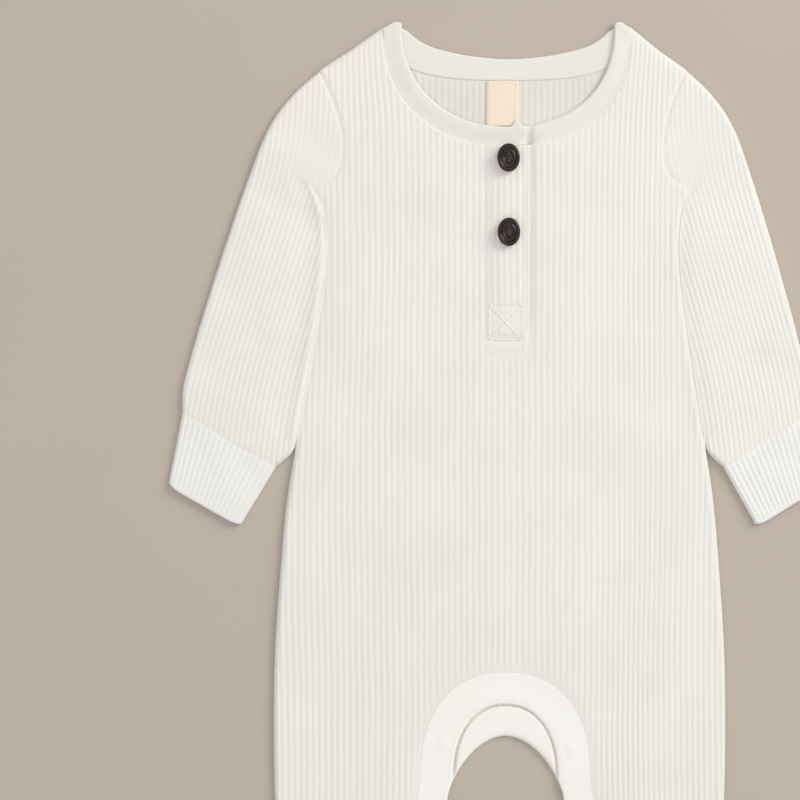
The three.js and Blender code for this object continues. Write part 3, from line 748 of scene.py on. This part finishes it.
def back_cloth():
    visible = 82.0  # the inside of the back shows in the neck, down to here

    def rounding(x, down):
        return 0.75 * (1 - mix(1, roll(from_edge(x, down), 1.6), open_edge_share(down)))

    def rib_share(x, down):
        edge = smooth(0.3, 2, from_edge(x, down))
        neck = smooth(0.3, 1.8, from_neck(BACK_NECK_SEAM, x, down))
        return edge * neck * smooth(0.3, 1.8, from_arch(BACK_SEAM_LINE, x, down))

    def top(x, down, phase):
        ribs = 0.3 * (rib_height(phase) - 1) * rib_share(x, down)
        neck = dip(from_neck(BACK_NECK_SEAM, x, down), 0.4)
        return BACK_WALL - rounding(x, down) + (ribs + neck if down < visible else 0)

    def under(x, down, phase):
        return rounding(x, down) + 0.4 * (1 - rib_height(phase)) * rib_share(x, down)

    def pick(x0, x1, down, extra):
        fill = columns if down < visible else plain_columns
        return fill(x0, x1, down, extra=extra)

    steps = (3, 2.6, 4, 6, 6, 7)
    plan = panel_plan(BACK_NECK_SEAM, BACK_SEAM_LINE, (84, UNDERARM), steps)
    return panel("back_cloth", plan, pick, top, partial(columns, per_rib=4), under)


# Sleeves and cuffs

sleeve_lean = Curve(SLEEVE_LEAN)


def sleeve_inner(down):
    beside = body_edge(down) + 0.06
    return np.where(down > SLEEVE_FLARE[0][0], sleeve_flare(down), beside)


def sleeve_surface(side, x, down, outer, inner, end_down):
    """Top of a sleeve under its ribs, at distances outer and inner from its two edges.

    The left one stands proud of the body beside it, and the right one lies lower than it.
    """
    along_body = smooth(98, 112, end_down)
    free = smooth(SLEEVE_FREE - 6, SLEEVE_FREE + 4, end_down)
    level = SLEEVE_TOP + fold_lift(SLEEVE_FOLDS, x, down) + 0.15 * drift(x, down, 19)
    if side < 0:
        crest = 0.85 * bell(inner - 3.6, 3.2) - 0.5 * bell(inner - 15, 8)
    else:
        crest = -0.95 * bell(inner, 8)
    level = level + along_body * (1 - free) * crest
    level = level + (1 - along_body) * (1 - 0.6 * low_armhole(end_down)) * dip(inner)
    edge = roll(outer, SLEEVE_ROLL) * mix(1, roll(inner, SLEEVE_INNER_ROLL), free)
    return FOLD_EDGE + (level - FOLD_EDGE) * edge


def cap_smoothness(x, down):
    """1 over most of a sleeve, less on its cap, where the knit is pulled nearly flat."""
    return 1 - 0.9 * bell(x - 122, 20) * bell(down - 84, 27)


def tube_under(edge, ridge):
    """Underside of a tube: turned up at its folds, with fainter ribs."""
    return 1.3 * (1 - roll(edge, 2)) + 0.3 * (1 - ridge)


def sleeve_cloth(side):
    cloth = Cloth()
    shares = np.linspace(0, 1, 60)
    turned = 4000  # places on the underside count back from here
    row_starts, row_ends = zip(*SLEEVE_ROWS)
    corner = np.interp(UNDERARM + np.array([-1, -0.4, 0, 0.4, 1]), row_ends, row_starts)
    starts = merge_rows([31], spread(31.7, 110, 1.7), corner, spread(110, row_starts[-1], 2.6))
    outer_rows, inner_rows = [], []
    for start in starts:
        end = float(np.interp(start, row_starts, row_ends))
        first, last = float(sleeve_outer(start)), float(sleeve_inner(end))
        width = math.hypot(first - last, end - start)
        lean = sleeve_lean(mix(start, end, shares))
        phase = (lean - mix(first, last, shares)) / (SLEEVE_RIB / RIB_COLUMNS)
        whole = np.arange(math.ceil(phase[0] + 0.3), math.floor(phase[-1] - 0.3) + 1)
        at = np.concatenate([[phase[0]], whole, [phase[-1]]])
        share = np.concatenate([[0], np.interp(whole, phase, shares), [1]])
        x, down = mix(first, last, share), mix(start, end, share)
        outer = share * width
        inner = width - outer
        seam = row_starts[-1] - start
        ridge = rib_height(at / RIB_COLUMNS)
        ribs = ridge * smooth(0.4, 3, outer) * smooth(0.4, 2.4, inner)
        ribs = ribs * (0.85 + 0.15 * drift(x, down, 15)) * mix(0.5, 1, smooth(0, 4, seam))
        ribs = RIB_DEPTH * smooth(0, 5, width - 4) * ribs * cap_smoothness(x, down)
        top = sleeve_surface(side, x, down, outer, inner, end) + ribs + dip(seam, 0.2)
        under = tube_under(np.minimum(outer, inner), ridge)
        outer_rows.append(cloth.tube_row(side * x, down, top, under, at, turned))
        inset = min(1.2, width * 0.2) / width
        few = np.linspace(inset, 1 - inset, 8)
        few_x, few_down, few_at = (mix(v[0], v[-1], few) for v in (x, down, at))
        high = np.interp(few * width, outer, top) - 0.9
        low = np.minimum(1.1, high - 0.1)
        inner_rows.append(cloth.tube_row(side * few_x, few_down, high, low, few_at, turned))
    cloth.slab(outer_rows, inner_rows, sides=False)
    return cloth.build(f"sleeve_{'left' if side < 0 else 'right'}_cloth")


def cuff_cloth(side):
    cloth = Cloth()
    across = np.linspace(0, 1, 8 * CUFF_RIBS + 1)
    few = np.linspace(0.02, 0.98, 24)
    turned = 2
    ridge = rib_height(across * CUFF_RIBS)

    def place(share, t):
        reach = t * (1 - CUFF_ROUNDING * np.abs(2 * share - 1) ** 8)
        outer, inner = ([mix(a, b, reach) for a, b in zip(*e)] for e in (CUFF_OUTER, CUFF_INNER))
        return mix(outer[1], inner[1], share), mix(outer[0], inner[0], share)

    outer_rows, inner_rows = [], []
    for t in CUFF_ROWS:
        x, down = place(across, t)
        width = math.hypot(x[0] - x[-1], down[0] - down[-1])
        edge = np.minimum(across, 1 - across) * width
        seam, hem = t * CUFF_LENGTH, (1 - t) * CUFF_LENGTH
        lip = float(roll(hem, 1.6))
        level = CUFF_TOP + 0.25 * drift(x, down, 11) + 0.25 * bell(seam, 4) - 0.2 * bell(hem - 7, 1.5)
        fade = smooth(0.4, 3, edge) * mix(0.25, 1, smooth(0, 7, hem)) * mix(0.5, 1, smooth(0, 3, seam))
        top = FOLD_EDGE + (level - FOLD_EDGE) * roll(edge, CUFF_ROLL) + CUFF_RIB_DEPTH * ridge * fade
        middle = top - WALL / 2
        under = tube_under(edge, ridge)
        under = mix(np.maximum(under, WALL / 2), under, lip)
        top = mix(middle, top, lip)
        outer_rows.append(cloth.tube_row(side * x, down, top, under, across, turned))
        few_x, few_down = place(few, t)
        high = np.interp(few, across, middle) - 0.4 * lip
        low = np.minimum(0.7 + 0.4 * lip, high - 0.15)
        inner_rows.append(cloth.tube_row(side * few_x, few_down, high, low, few, turned))
    cloth.slab(outer_rows, inner_rows, sides=False)
    return cloth.build(f"cuff_{'left' if side < 0 else 'right'}_cloth")


# Bands: strips with a puffed section, folded at their finished edge and sewn down at the other


def band_ring(edge, seam, low, high, ribs, groove, count=22, bead=0.0, extra=()):
    """One section: shares from finished edge to seam, x, down, and heights of top and underside.

    A groove runs along the band at a share of its width, and a bead beside its finished edge.
    """
    round_share, groove_width, bead_at, bead_width = 0.13, 0.035, 1.4, 0.8
    v = (1 - np.cos(np.linspace(0, math.pi, count))) / 2
    v = np.sort(np.concatenate([v, extra]))
    full = roll(v, round_share) * mix(1, 0.72, smooth(0.9, 1, v))
    x, down = mix(edge[0], seam[0], v), mix(edge[1], seam[1], v)
    middle, thick = (low + high) / 2, (high - low) / 2
    place, depth = groove
    cut = ribs * smooth(0.04, 0.16, v) * (1 - smooth(0.9, 1, v))
    cut = cut + depth * bell(v - place, groove_width)
    inside = v * math.dist(edge, seam)
    top = middle + thick * full - cut + bead * bell(inside - bead_at, bead_width)
    return v, x, down, top, middle - thick * full + cut * 0.8


def along(curve, count):
    """(turn, distance) at even distances along a neck curve, from its lowest point to its end."""
    across, most, power = curve
    turn = np.linspace(math.pi / 2, 0, 2000)
    x = across * np.cos(turn) ** (2 / power)
    y = most * np.sin(turn) ** (2 / power)
    length = np.concatenate([[0], np.cumsum(np.hypot(np.diff(x), np.diff(y)))])
    even = np.linspace(0, length[-1], count)
    return list(zip(np.interp(even, length, turn), even))


def curve_point(curve, turn, inwards=0.0):
    """A point of a neck or arch curve, moved towards the curve's middle."""
    across, most, power = curve
    c, s = max(math.cos(turn), 0) ** (2 / power), max(math.sin(turn), 0) ** (2 / power)
    size = math.hypot(across * c, most * s)
    return across * c * (1 - inwards / size), most * s * (1 - inwards / size)


LAP = 11.4  # the band's left end laps over the placket to this side of the centre line
LAP_PEAK = 4.6  # the folded corner at its end stands up a little
FOLD_DOWN = BAND_WALL + CLEAR / 2


def neck_rib(distance):
    return 0.06 * (1 - rib_height(distance / NECK_RIB))


def neckband_cloth():
    cloth = Cloth()
    rows = []

    def drop(x, depth, corner):
        slope = TIP_DROP * smooth(71, FRONT_NECK_SEAM[0], x) * (1 - smooth(0, TIP_LENGTH, depth))
        inner = 1.5 * (1 - smooth(66, 70, x)) - 0.3 * bell(x - 70.5, 2.5)
        return slope + corner * inner * (1 - smooth(0, 5, depth))

    def add(side, x, down, top, under, corner=1.0):
        down = down + drop(x, down - NECK_TOP, corner)
        rows.append(cloth.bar_row(side * x, (down, top), (down, under)))

    def front(side, turn, distance):
        edge = curve_point(FRONT_NECK_EDGE, turn)
        seam = curve_point(FRONT_NECK_SEAM, turn, inwards=0.05)
        if side > 0:
            upright = mix(edge[0], seam[0], bell(seam[0] - LAP, 9))
            edge = (upright, edge[1] - LAP_PEAK * bell(seam[0] - 5.2, 2.4))
        depth = float(smooth(0, 30, seam[1]))
        low = FOLD_DOWN + CLEAR / 2 + 0.6 * depth
        share, x, y, top, under = band_ring(
            edge, seam, low, low + BAND_WALL, neck_rib(distance), (0.84, 0.1), bead=0.3 * depth
        )
        beside = float(front_surface(side * seam[0], NECK_TOP + seam[1]))
        top = mix(top, beside, smooth(0.15, 1, share) * smooth(2, 14, seam[1]))
        sunk = 0.5 * depth * (1 - smooth(0, 0.35, share))
        past = seam[0] - LAP
        if side > 0 and past > -3:
            sunk = sunk + (1.2 * (1 - smooth(0, 6, past)) if past > 0 else 0.3 * smooth(-1.5, 0, past))
        add(side, x, NECK_TOP + y, top - sunk, np.minimum(under - sunk, top - sunk - 0.4))

    def tip(side, turn, distance):
        edge, seam = (FRONT_NECK_EDGE[0] - 0.1, 0), (FRONT_NECK_SEAM[0] - 0.05, 0)
        _, x, _, *radii = band_ring(edge, seam, CLEAR / 2, FOLD_DOWN, neck_rib(distance), (0.86, 0.22))
        middle = FOLD_DOWN + drop(x, 0, (1 + math.cos(turn)) / 2)
        arcs = [(middle - r * math.sin(turn), FOLD_DOWN + r * math.cos(turn)) for r in radii]
        rows.append(cloth.bar_row(side * x, *arcs))

    def back(side, turn, distance):
        x, depth = curve_point(BACK_NECK_EDGE, turn)
        edge = (x - 2.9 * smooth(0, 3.5, depth) * (1 - smooth(5, 14, depth)), depth)
        seam = curve_point(BACK_NECK_SEAM, turn, inwards=0.05)
        _, x, y, upper, lower = band_ring(edge, seam, 0, BAND_WALL, neck_rib(distance), (0.86, 0.22))
        add(side, x, NECK_TOP + y, BAND_WALL - upper, BAND_WALL - lower, corner=0.0)

    fronts = along(FRONT_NECK_SEAM, 400)
    backs = along(BACK_NECK_SEAM, 240)
    tips = [(turn, 0) for turn in np.linspace(0, math.pi, 14)[1:-1]]
    lapped = sum(curve_point(FRONT_NECK_SEAM, turn)[0] < LAP for turn, _ in fronts)
    end_turn, end_distance = fronts[lapped - 1]
    # From the lapped end, left round the neck, to the end under the lap
    walk = [
        (front, 1, fronts[lapped - 1 : 0 : -1]),
        (front, -1, fronts),
        (tip, -1, tips),
        (back, -1, backs[::-1]),
        (back, 1, backs[1:]),
        (tip, 1, tips[::-1]),
        (front, 1, fronts[: lapped - 1 : -1] + [(end_turn - 0.0004, end_distance)]),
    ]
    for section, side, places in walk:
        for turn, distance in places:
            section(side, turn, distance)
    cloth.grid(rows)
    return cloth.build("neckband_cloth")


SNAP_RADIUS = 3.6
FRONT_SNAPS = [(-1, 450.5), (1, 452.5), (-1, 500), (1, 502), (-1, 553), (1, 554), (-1, 607), (1, 607)]


def band_path(foot, curve, step):
    """Signed downs along one inseam band, from the left hem over the arch to the right hem."""
    turns = np.radians(np.arange(87, 3, -3))
    arch = [foot - curve[1] * math.sin(t) ** (2 / curve[2]) for t in turns]
    leg = merge_rows(arch, spread(arch[-1], foot, step), spread(foot, LENGTH, step))
    return [(-1, d) for d in reversed(leg)] + [(1, foot - curve[1])] + [(1, d) for d in leg]


def columns_under(edge, seam):
    """Shares across the back band near the front band's finished edge, which lies over it."""
    share = np.linspace(0, 1, 80)
    x, down = mix(edge[0], seam[0], share), mix(edge[1], seam[1], share)
    covered = from_line(FRONT_FREE_LINE, CROTCH_X + x, down)
    width = math.dist(edge, seam)
    start = np.interp(0, covered, share) - 2.2 / width
    return np.clip(start, 0.03, 0.8) + np.linspace(0, 3, 16) / width


def inseam_band(name, seam_line, free_line, faces_up):
    (seam_curve, foot, seam_at), (free_curve, _, free_at) = seam_line, free_line
    low = FRONT_EDGE + CLEAR if faces_up else 0.0
    cloth = Cloth()
    rows = []
    walked, last = 0.0, None
    for side, down in band_path(foot, seam_curve, 1.5 if faces_up else 1.0):
        above = max(0.0, foot - down)
        edge_down = down + above * (1 - free_curve[1] / seam_curve[1])
        half = float(seam_at(down))
        tuck = 1 - 0.06 / max(1e-6, math.hypot(half, above))
        seam = (side * half * tuck, down + above * (1 - tuck))
        edge = (side * float(free_at(edge_down)), edge_down)
        walked += math.dist(seam, last or seam)
        last = seam
        ribs = 0.05 * (1 - rib_height(walked / 2.2))
        extra = () if faces_up else columns_under(edge, seam)
        share, x, y, top, under = band_ring(
            edge, seam, low, low + BACK_WALL, ribs, (0.13, 0.1), count=26, extra=extra
        )
        if faces_up:
            ripple = 0.06 * math.sin(walked / 9) + 0.042 * math.sin(walked / 5.3 + 1)
            beside = float(front_surface(CROTCH_X + seam[0], seam[1]))
            top = mix(top + ripple, beside, smooth(0.6, 1, share))
            for snap_side, snap_down in FRONT_SNAPS:
                middle = snap_side * (float(free_at(snap_down)) + 9.5)
                far = np.hypot(x - middle, y - snap_down) / SNAP_RADIUS
                top = top + 0.5 * (1 - smooth(0.62, 1, far)) - 0.32 * (1 - smooth(0.1, 0.5, far))
        else:
            covered = from_line(FRONT_FREE_LINE, CROTCH_X + x, y)
            top = top + 1.6 * smooth(0.9, 1.9, -covered) * roll(share, 0.2)
            top = top - 0.35 * bell(covered + 0.4, 0.8)
        rows.append(cloth.bar_row(CROTCH_X + x, (y, top), (y, under)))
    cloth.grid(rows)
    return cloth.build(name)


# Placket, label, buttons


def placket_floor(x, down):
    return front_surface(x, down) + crease(x, down) + 0.1


def pressed_box(x, down):
    """Depth of the lines that the boxed cross presses into the placket."""
    across, along = BOX.right - BOX.left, BOX.bottom - BOX.top
    share = np.clip((down - BOX.top) / along, 0, 1)
    near = bell(down - BOX.top, 1)
    for start, end in ((BOX.left, BOX.right), (BOX.right, BOX.left)):
        off = (x - mix(start, end, share)) * along / math.hypot(across, along)
        near = np.maximum(near, 0.4 * bell(off, 1.5))
    past = down - BOX.bottom - 0.5
    foot = 0.5 * bell(past, np.where(past < 0, 3, 1.8))
    return np.maximum(0.25 * near, foot) * smooth(BOX.top - 1.5, BOX.top, down)


def placket_surface(x, down):
    floor = placket_floor(x, down)
    inner = smooth(0, 12, x - PLACKET.left) * smooth(6, 15, PLACKET.bottom - down)
    level = floor + mix(0.4, 1.5, inner) + 0.1 * smooth(8, 9, x)
    level = level - (0.12 * bell(x - BOX.right, 0.8) + pressed_box(x, down))
    side = np.minimum(x - PLACKET.left, PLACKET.right - x)
    ends = roll(down - PLACKET.top + 4, 1) * smooth(-0.2, 7, PLACKET.bottom - down)
    return floor + (level - floor) * roll(side, mix(1.1, 0.6, smooth(0, 5, x))) * ends


def placket_cloth():
    cloth = Cloth()
    top_rows, low_rows = [], []
    foot = PLACKET.bottom - 2
    for down in merge_rows(spread(PLACKET.top, foot, 1.4), spread(foot, PLACKET.bottom, 0.4)):
        phase, x = columns(PLACKET.left, PLACKET.right, down, per_rib=8)
        side = np.minimum(x - PLACKET.left, PLACKET.right - x)
        ribs = smooth(1.2, 3, side) * smooth(0, 6, BOX.bottom - down) * (1 - smooth(7, 8, x))
        ribs = ribs * (1 - 0.75 * smooth(BOX.top - 2, BOX.top, down)) * rib_height(phase)
        z = placket_surface(x, down) + PLACKET_RIB_DEPTH * ribs
        top_rows.append(cloth.row(lay(x, down, z), x))
        low = np.linspace(PLACKET.left, PLACKET.right, 12)
        low_rows.append(cloth.row(lay(low, down, placket_floor(low, down) - 0.05), low))
    cloth.slab(top_rows, low_rows)
    return cloth.build("placket_cloth")


def label_cloth():
    cloth = Cloth()
    rows = []
    low = BACK_WALL + CLEAR
    x = np.linspace(LABEL.left, LABEL.right, 24)
    for down in spread(LABEL.top, LABEL.bottom, 1.2):
        inward = np.minimum(x - LABEL.left, LABEL.right - x)
        puff = roll(inward, 0.5) * float(roll(LABEL.bottom - down, 0.5))
        wave = 0.16 * np.sin(x / 4.2 + down / 13)
        top = low + 0.35 + 0.35 * puff + wave
        under = low + 0.3 - 0.3 * puff + wave
        rows.append(cloth.bar_row(x, (down, top), (down, under)))
    cloth.grid(rows)
    return cloth.build("label_tape_piece")


# A button's turned outline, from the middle of its back to that of its face: (radius, height)
BUTTON_PROFILE = [
    (0.0, 0.0), (0.74, 0.0), (0.9, 0.1), (0.985, 0.3), (1.0, 0.52), (0.985, 0.74), (0.94, 0.9),
    (0.87, 0.98), (0.8, 0.99), (0.74, 0.92), (0.7, 0.78), (0.66, 0.68), (0.62, 0.68),
    (0.57, 0.78), (0.52, 0.83), (0.47, 0.8), (0.42, 0.7), (0.36, 0.6), (0.28, 0.54),
    (0.2, 0.52), (0.1, 0.51), (0.0, 0.5),
]
BUTTON_SIDES = 72
HOLE_RADIUS = 0.85
HOLE_OFFSET = 1.7
HOLE_SIDES = 20
SEWN_RADIUS = 0.26
SEWN_LANES = (-0.28, 0.28)
SHANK_RADIUS = 0.5
SHANK_DEPTH = 1.3


def turned_bar(cloth, outline, sides, middle=(0, 0), stretch=1.0):
    """Adds a turned bar: rings of (radius, height); stretch lengthens them along Y."""
    turns = np.linspace(0, 2 * math.pi, sides, endpoint=False)
    rows = []
    for r, z in outline:
        x, y = middle[0] + r * np.cos(turns), middle[1] + r * np.sin(turns) * stretch
        ring = np.stack([x, y, np.full(sides, z)], axis=1) * MM
        rows.append(cloth.row(ring, np.arange(sides), closed=True))
    cloth.grid(rows)


def cut_holes(piece, height, stretch):
    cloth = Cloth()
    outline = [(HOLE_RADIUS, height * 0.12), (HOLE_RADIUS, height * 1.3)]
    for x in (-HOLE_OFFSET, HOLE_OFFSET):
        for y in (-HOLE_OFFSET, HOLE_OFFSET):
            turned_bar(cloth, outline, HOLE_SIDES, (x, y * stretch))
    cutter = cloth.build("holes")
    cut = piece.modifiers.new("holes", "BOOLEAN")
    cut.operation = "DIFFERENCE"
    cut.solver = "EXACT"
    cut.object = cutter
    bpy.context.view_layer.update()
    evaluated = piece.evaluated_get(bpy.context.evaluated_depsgraph_get())
    mesh = bpy.data.meshes.new_from_object(evaluated)
    piece.modifiers.clear()
    piece.data = mesh
    bpy.data.objects.remove(cutter)


def button(node):
    low, high = (np.array(corner) * 1000 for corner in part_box(node))
    width, length, height = high - low
    middle = (low + high) / 2
    stretch = length / width
    cloth = Cloth()
    outline = [(max(r, 1e-4) * width / 2, z * height) for r, z in BUTTON_PROFILE]
    turned_bar(cloth, outline, BUTTON_SIDES, stretch=stretch)
    piece = cloth.build(f"{node}_piece")
    cut_holes(piece, height, stretch)
    shift = Vector((middle[0] * MM, middle[1] * MM, low[2] * MM))
    for vertex in piece.data.vertices:
        vertex.co += shift
    finish_piece(piece, HORN, "button", node)
    paths = []
    arc = np.linspace(-1, 1, 9)
    z = low[2] + height * 0.56 + 0.35 * (1 - arc**2) - 0.7 * (np.abs(arc) > 0.9)
    for side in (-1, 1):
        for lane in SEWN_LANES:
            y = np.full(9, middle[1] + side * HOLE_OFFSET * stretch + lane)
            paths.append(np.stack([middle[0] + arc * HOLE_OFFSET, y, z], axis=1) * MM)
    shank = np.linspace(low[2] - SHANK_DEPTH, low[2] + 0.2, 5)
    for turn in np.radians((45, 135, 225, 315)):
        x, y = middle[0] + SHANK_RADIUS * math.cos(turn), middle[1] + SHANK_RADIUS * math.sin(turn)
        paths.append(np.array([[x, y, z] for z in shank]) * MM)
    finish_piece(tubes(f"{node}_thread", paths, SEWN_RADIUS), BUTTON_THREAD, "button")


# Sewing thread


def tubes(name, paths, radius, sides=6):
    """Short round threads along paths of points, in metres; radius in millimetres."""
    cloth = Cloth()
    turns = np.linspace(0, 2 * math.pi, sides, endpoint=False)
    for path in paths:
        ahead = np.gradient(path, axis=0)
        ahead = ahead / np.linalg.norm(ahead, axis=1, keepdims=True)
        aside = np.cross(ahead, [0, 1.0, 0] if abs(ahead[0][2]) > 0.9 else [0, 0, 1.0])
        aside = aside / np.maximum(np.linalg.norm(aside, axis=1, keepdims=True), 1e-9)
        above = np.cross(aside, ahead)
        size = np.full(len(path), radius * MM)
        size[0] = size[-1] = radius * MM * 0.35
        rows = []
        for k, point in enumerate(path):
            ring = point + size[k] * (
                np.outer(np.cos(turns), aside[k]) + np.outer(np.sin(turns), above[k])
            )
            rows.append(cloth.row(ring, np.arange(sides), closed=True))
        cloth.grid(rows)
    return cloth.build(name)


def stitches(line, height, length, gap, bulge):
    """Paths of running stitches along a line of (x, down) points, on height(x, down)."""
    line = np.asarray(line, float)
    walked = np.concatenate([[0], np.cumsum(np.hypot(*np.diff(line, axis=0).T))])
    count = max(1, int(walked[-1] / (length + gap)))
    pitch = walked[-1] / count
    paths = []
    arc = np.linspace(0, 1, 6)
    for k in range(count):
        at = (k + arc * length / (length + gap)) * pitch
        x, down = (np.interp(at, walked, line[:, c]) for c in range(2))
        lift = (bulge + STITCH_SINK) * np.sin(math.pi * arc) ** 0.7
        paths.append(lay(x, down, height(x, down) - STITCH_SINK + lift))
    return paths


def height_on(piece):
    """Height of a piece's top at plan points, found by casting down."""
    mesh = piece.data
    points = [v.co for v in mesh.vertices]
    tree = BVHTree.FromPolygons(points, [tuple(p.vertices) for p in mesh.polygons])

    def height(x, down):
        found = []
        for point in lay(x, down, ABOVE_ALL):
            hit = tree.ray_cast(Vector(point), Vector((0, 0, -1)))[0]
            found.append(0.0 if hit is None else hit.z / MM)
        return np.array(found)

    return height


def sew(name, lines, height, stitch, slot="knit"):
    """One piece of running stitches along some lines."""
    *sizes, radius = stitch
    paths = []
    for line in lines:
        paths += stitches(line, height, *sizes)
    return finish_piece(tubes(name, paths, radius), THREAD, slot)


def neck_line(side):
    """Beside the neck seam, on the front."""
    turns = np.radians(np.linspace(84, 3, 60))
    points = [curve_point(FRONT_NECK_SEAM, turn, inwards=-2.2) for turn in turns]
    return [(side * x, NECK_TOP + depth) for x, depth in points]


def inseam_line(side):
    """Inside the front inseam band's finished edge, from the middle of the arch to the hem."""
    inward = 2.6
    curve = (FRONT_ARCH[0] + inward, FRONT_ARCH[1] + inward, FRONT_ARCH[2])
    arch = [curve_point(curve, t) for t in np.radians(np.linspace(88, 2, 40))]
    line = [(CROTCH_X + side * x, FRONT_FOOT - depth) for x, depth in arch]
    for down in spread(FRONT_FOOT, LENGTH - 3, 3):
        line.append((CROTCH_X + side * (float(front_inseam(down)) + inward), down))
    return line


def hem_line(side):
    down = LENGTH - 9
    inner = CROTCH_X + side * (float(front_band_seam(down)) + 1)
    outer = side * (float(body_edge(down)) - 1.5)
    return [(outer, down), (inner, down)]


# Putting it together

front = finish_piece(front_cloth(), BODY_KNIT, "knit", "front")
back = finish_piece(back_cloth(), INSIDE_KNIT_PAINTED_SHADE, "knit", "back")
for side, word in ((-1, "left"), (1, "right")):
    finish_piece(sleeve_cloth(side), SLEEVE_KNIT, "knit", f"sleeve_{word}")
    finish_piece(cuff_cloth(side), CUFF_KNIT, "knit", f"cuff_{word}")
neckband = finish_piece(neckband_cloth(), NECK_KNIT_PAINTED_SHADE, "knit", "neckband")
placket = finish_piece(placket_cloth(), BODY_KNIT, "knit", "placket")
front_band = inseam_band("front_inseam_band_cloth", FRONT_SEAM_LINE, FRONT_FREE_LINE, faces_up=True)
finish_piece(front_band, BAND_KNIT, "band_knit", "front_inseam_band")
back_band = inseam_band("back_inseam_band_cloth", BACK_SEAM_LINE, BACK_FREE_LINE, faces_up=False)
finish_piece(back_band, BAND_KNIT, "band_knit", "back_inseam_band")
label = finish_piece(label_cloth(), LABEL_TAPE, "label_tape", "label")
for node in ("button_upper", "button_lower"):
    button(node)

corners = [(BOX.left, BOX.top), (BOX.right, BOX.top), (BOX.right, BOX.bottom), (BOX.left, BOX.bottom)]
box_lines = [[corners[a], corners[b]] for a, b in ((0, 1), (1, 2), (2, 3), (3, 0), (0, 2), (1, 3))]
placket_thread = sew("placket_stitches", box_lines, height_on(placket), BOX_STITCH)

front_height = height_on(front)
sew("neck_stitches", [neck_line(side) for side in (-1, 1)], front_height, NECK_STITCH)
inseams = [inseam_line(side) for side in (-1, 1)]
sew("inseam_stitches", inseams, height_on(front_band), INSEAM_STITCH, "band_knit")
sew("hem_stitches", [hem_line(side) for side in (-1, 1)], front_height, HEM_STITCH)

label_lines = []
for x in (LABEL.left + 1.6, LABEL.right - 1.6):
    for down in LABEL.top + 2.1 + np.arange(3) * 0.6:
        label_lines.append([(x - 1.2, down), (x + 1.2, down)])
label_thread = sew("label_stitches", label_lines, height_on(label), LABEL_STITCH, "label_tape")


# Floor, light and camera

FLOOR = 3.0
FLOOR_LEVEL = -0.0002
AIM = Vector((0, 0.08, 0))
# Lights: name, place, size, power, colour
LIGHTS = [
    ("key", (1.8, 1.43, 1.35), 1.2, 36, (1, 0.98, 0.95)),
    ("top", (-0.3, -0.2, 2.2), 2.2, 15, (0.98, 0.99, 1)),
]


def studio_floor():
    mesh = bpy.data.meshes.new("floor")
    corners = [(-FLOOR, -FLOOR), (FLOOR, -FLOOR), (FLOOR, FLOOR), (-FLOOR, FLOOR)]
    mesh.from_pydata([(x, y, FLOOR_LEVEL) for x, y in corners], [], [(0, 1, 2, 3)])
    floor = bpy.data.objects.new("floor", mesh)
    bpy.context.collection.objects.link(floor)
    material, tree, shader, where = new_material("floor_paint", roughness=0.9)
    patches = noise(tree, where, scale=6, detail=2)
    tint(tree, shader, patches, (0.5, 0.435, 0.365), (0.53, 0.465, 0.395))
    mesh.materials.append(material)


def area_light(name, place, size, power, colour):
    light = bpy.data.lights.new(name, "AREA")
    light.size = size
    light.energy = power
    light.color = colour
    lamp = bpy.data.objects.new(name, light)
    lamp.location = place
    lamp.rotation_euler = (AIM - Vector(place)).to_track_quat("-Z", "Y").to_euler()
    bpy.context.collection.objects.link(lamp)


studio_floor()
for light in LIGHTS:
    area_light(*light)
world = bpy.data.worlds.new("studio")
world.use_nodes = True
world.node_tree.nodes["Background"].inputs["Color"].default_value = (0.98, 0.99, 1, 1)
world.node_tree.nodes["Background"].inputs["Strength"].default_value = 0.53
bpy.context.scene.world = world
bpy.context.scene.view_settings.view_transform = "Standard"

# The photograph shows 500 mm across its frame at the cloth, straight down.
FRAME_WIDTH = 500.0
LENS = 85.0
SENSOR = 36.0
FRAME_LEFT = -318.1
FRAME_TOP = -13.8
camera_data = bpy.data.cameras.new("camera")
camera_data.lens = LENS
camera_data.sensor_width = SENSOR
camera = bpy.data.objects.new("camera", camera_data)
middle = (FRAME_LEFT + FRAME_WIDTH / 2 + CENTRE_FRONT, LENGTH / 2 - FRAME_TOP - FRAME_WIDTH / 2)
camera.location = (middle[0] * MM, middle[1] * MM, (FRAME_WIDTH * LENS / SENSOR + FRONT_EDGE) * MM)
bpy.context.collection.objects.link(camera)
bpy.context.scene.camera = camera
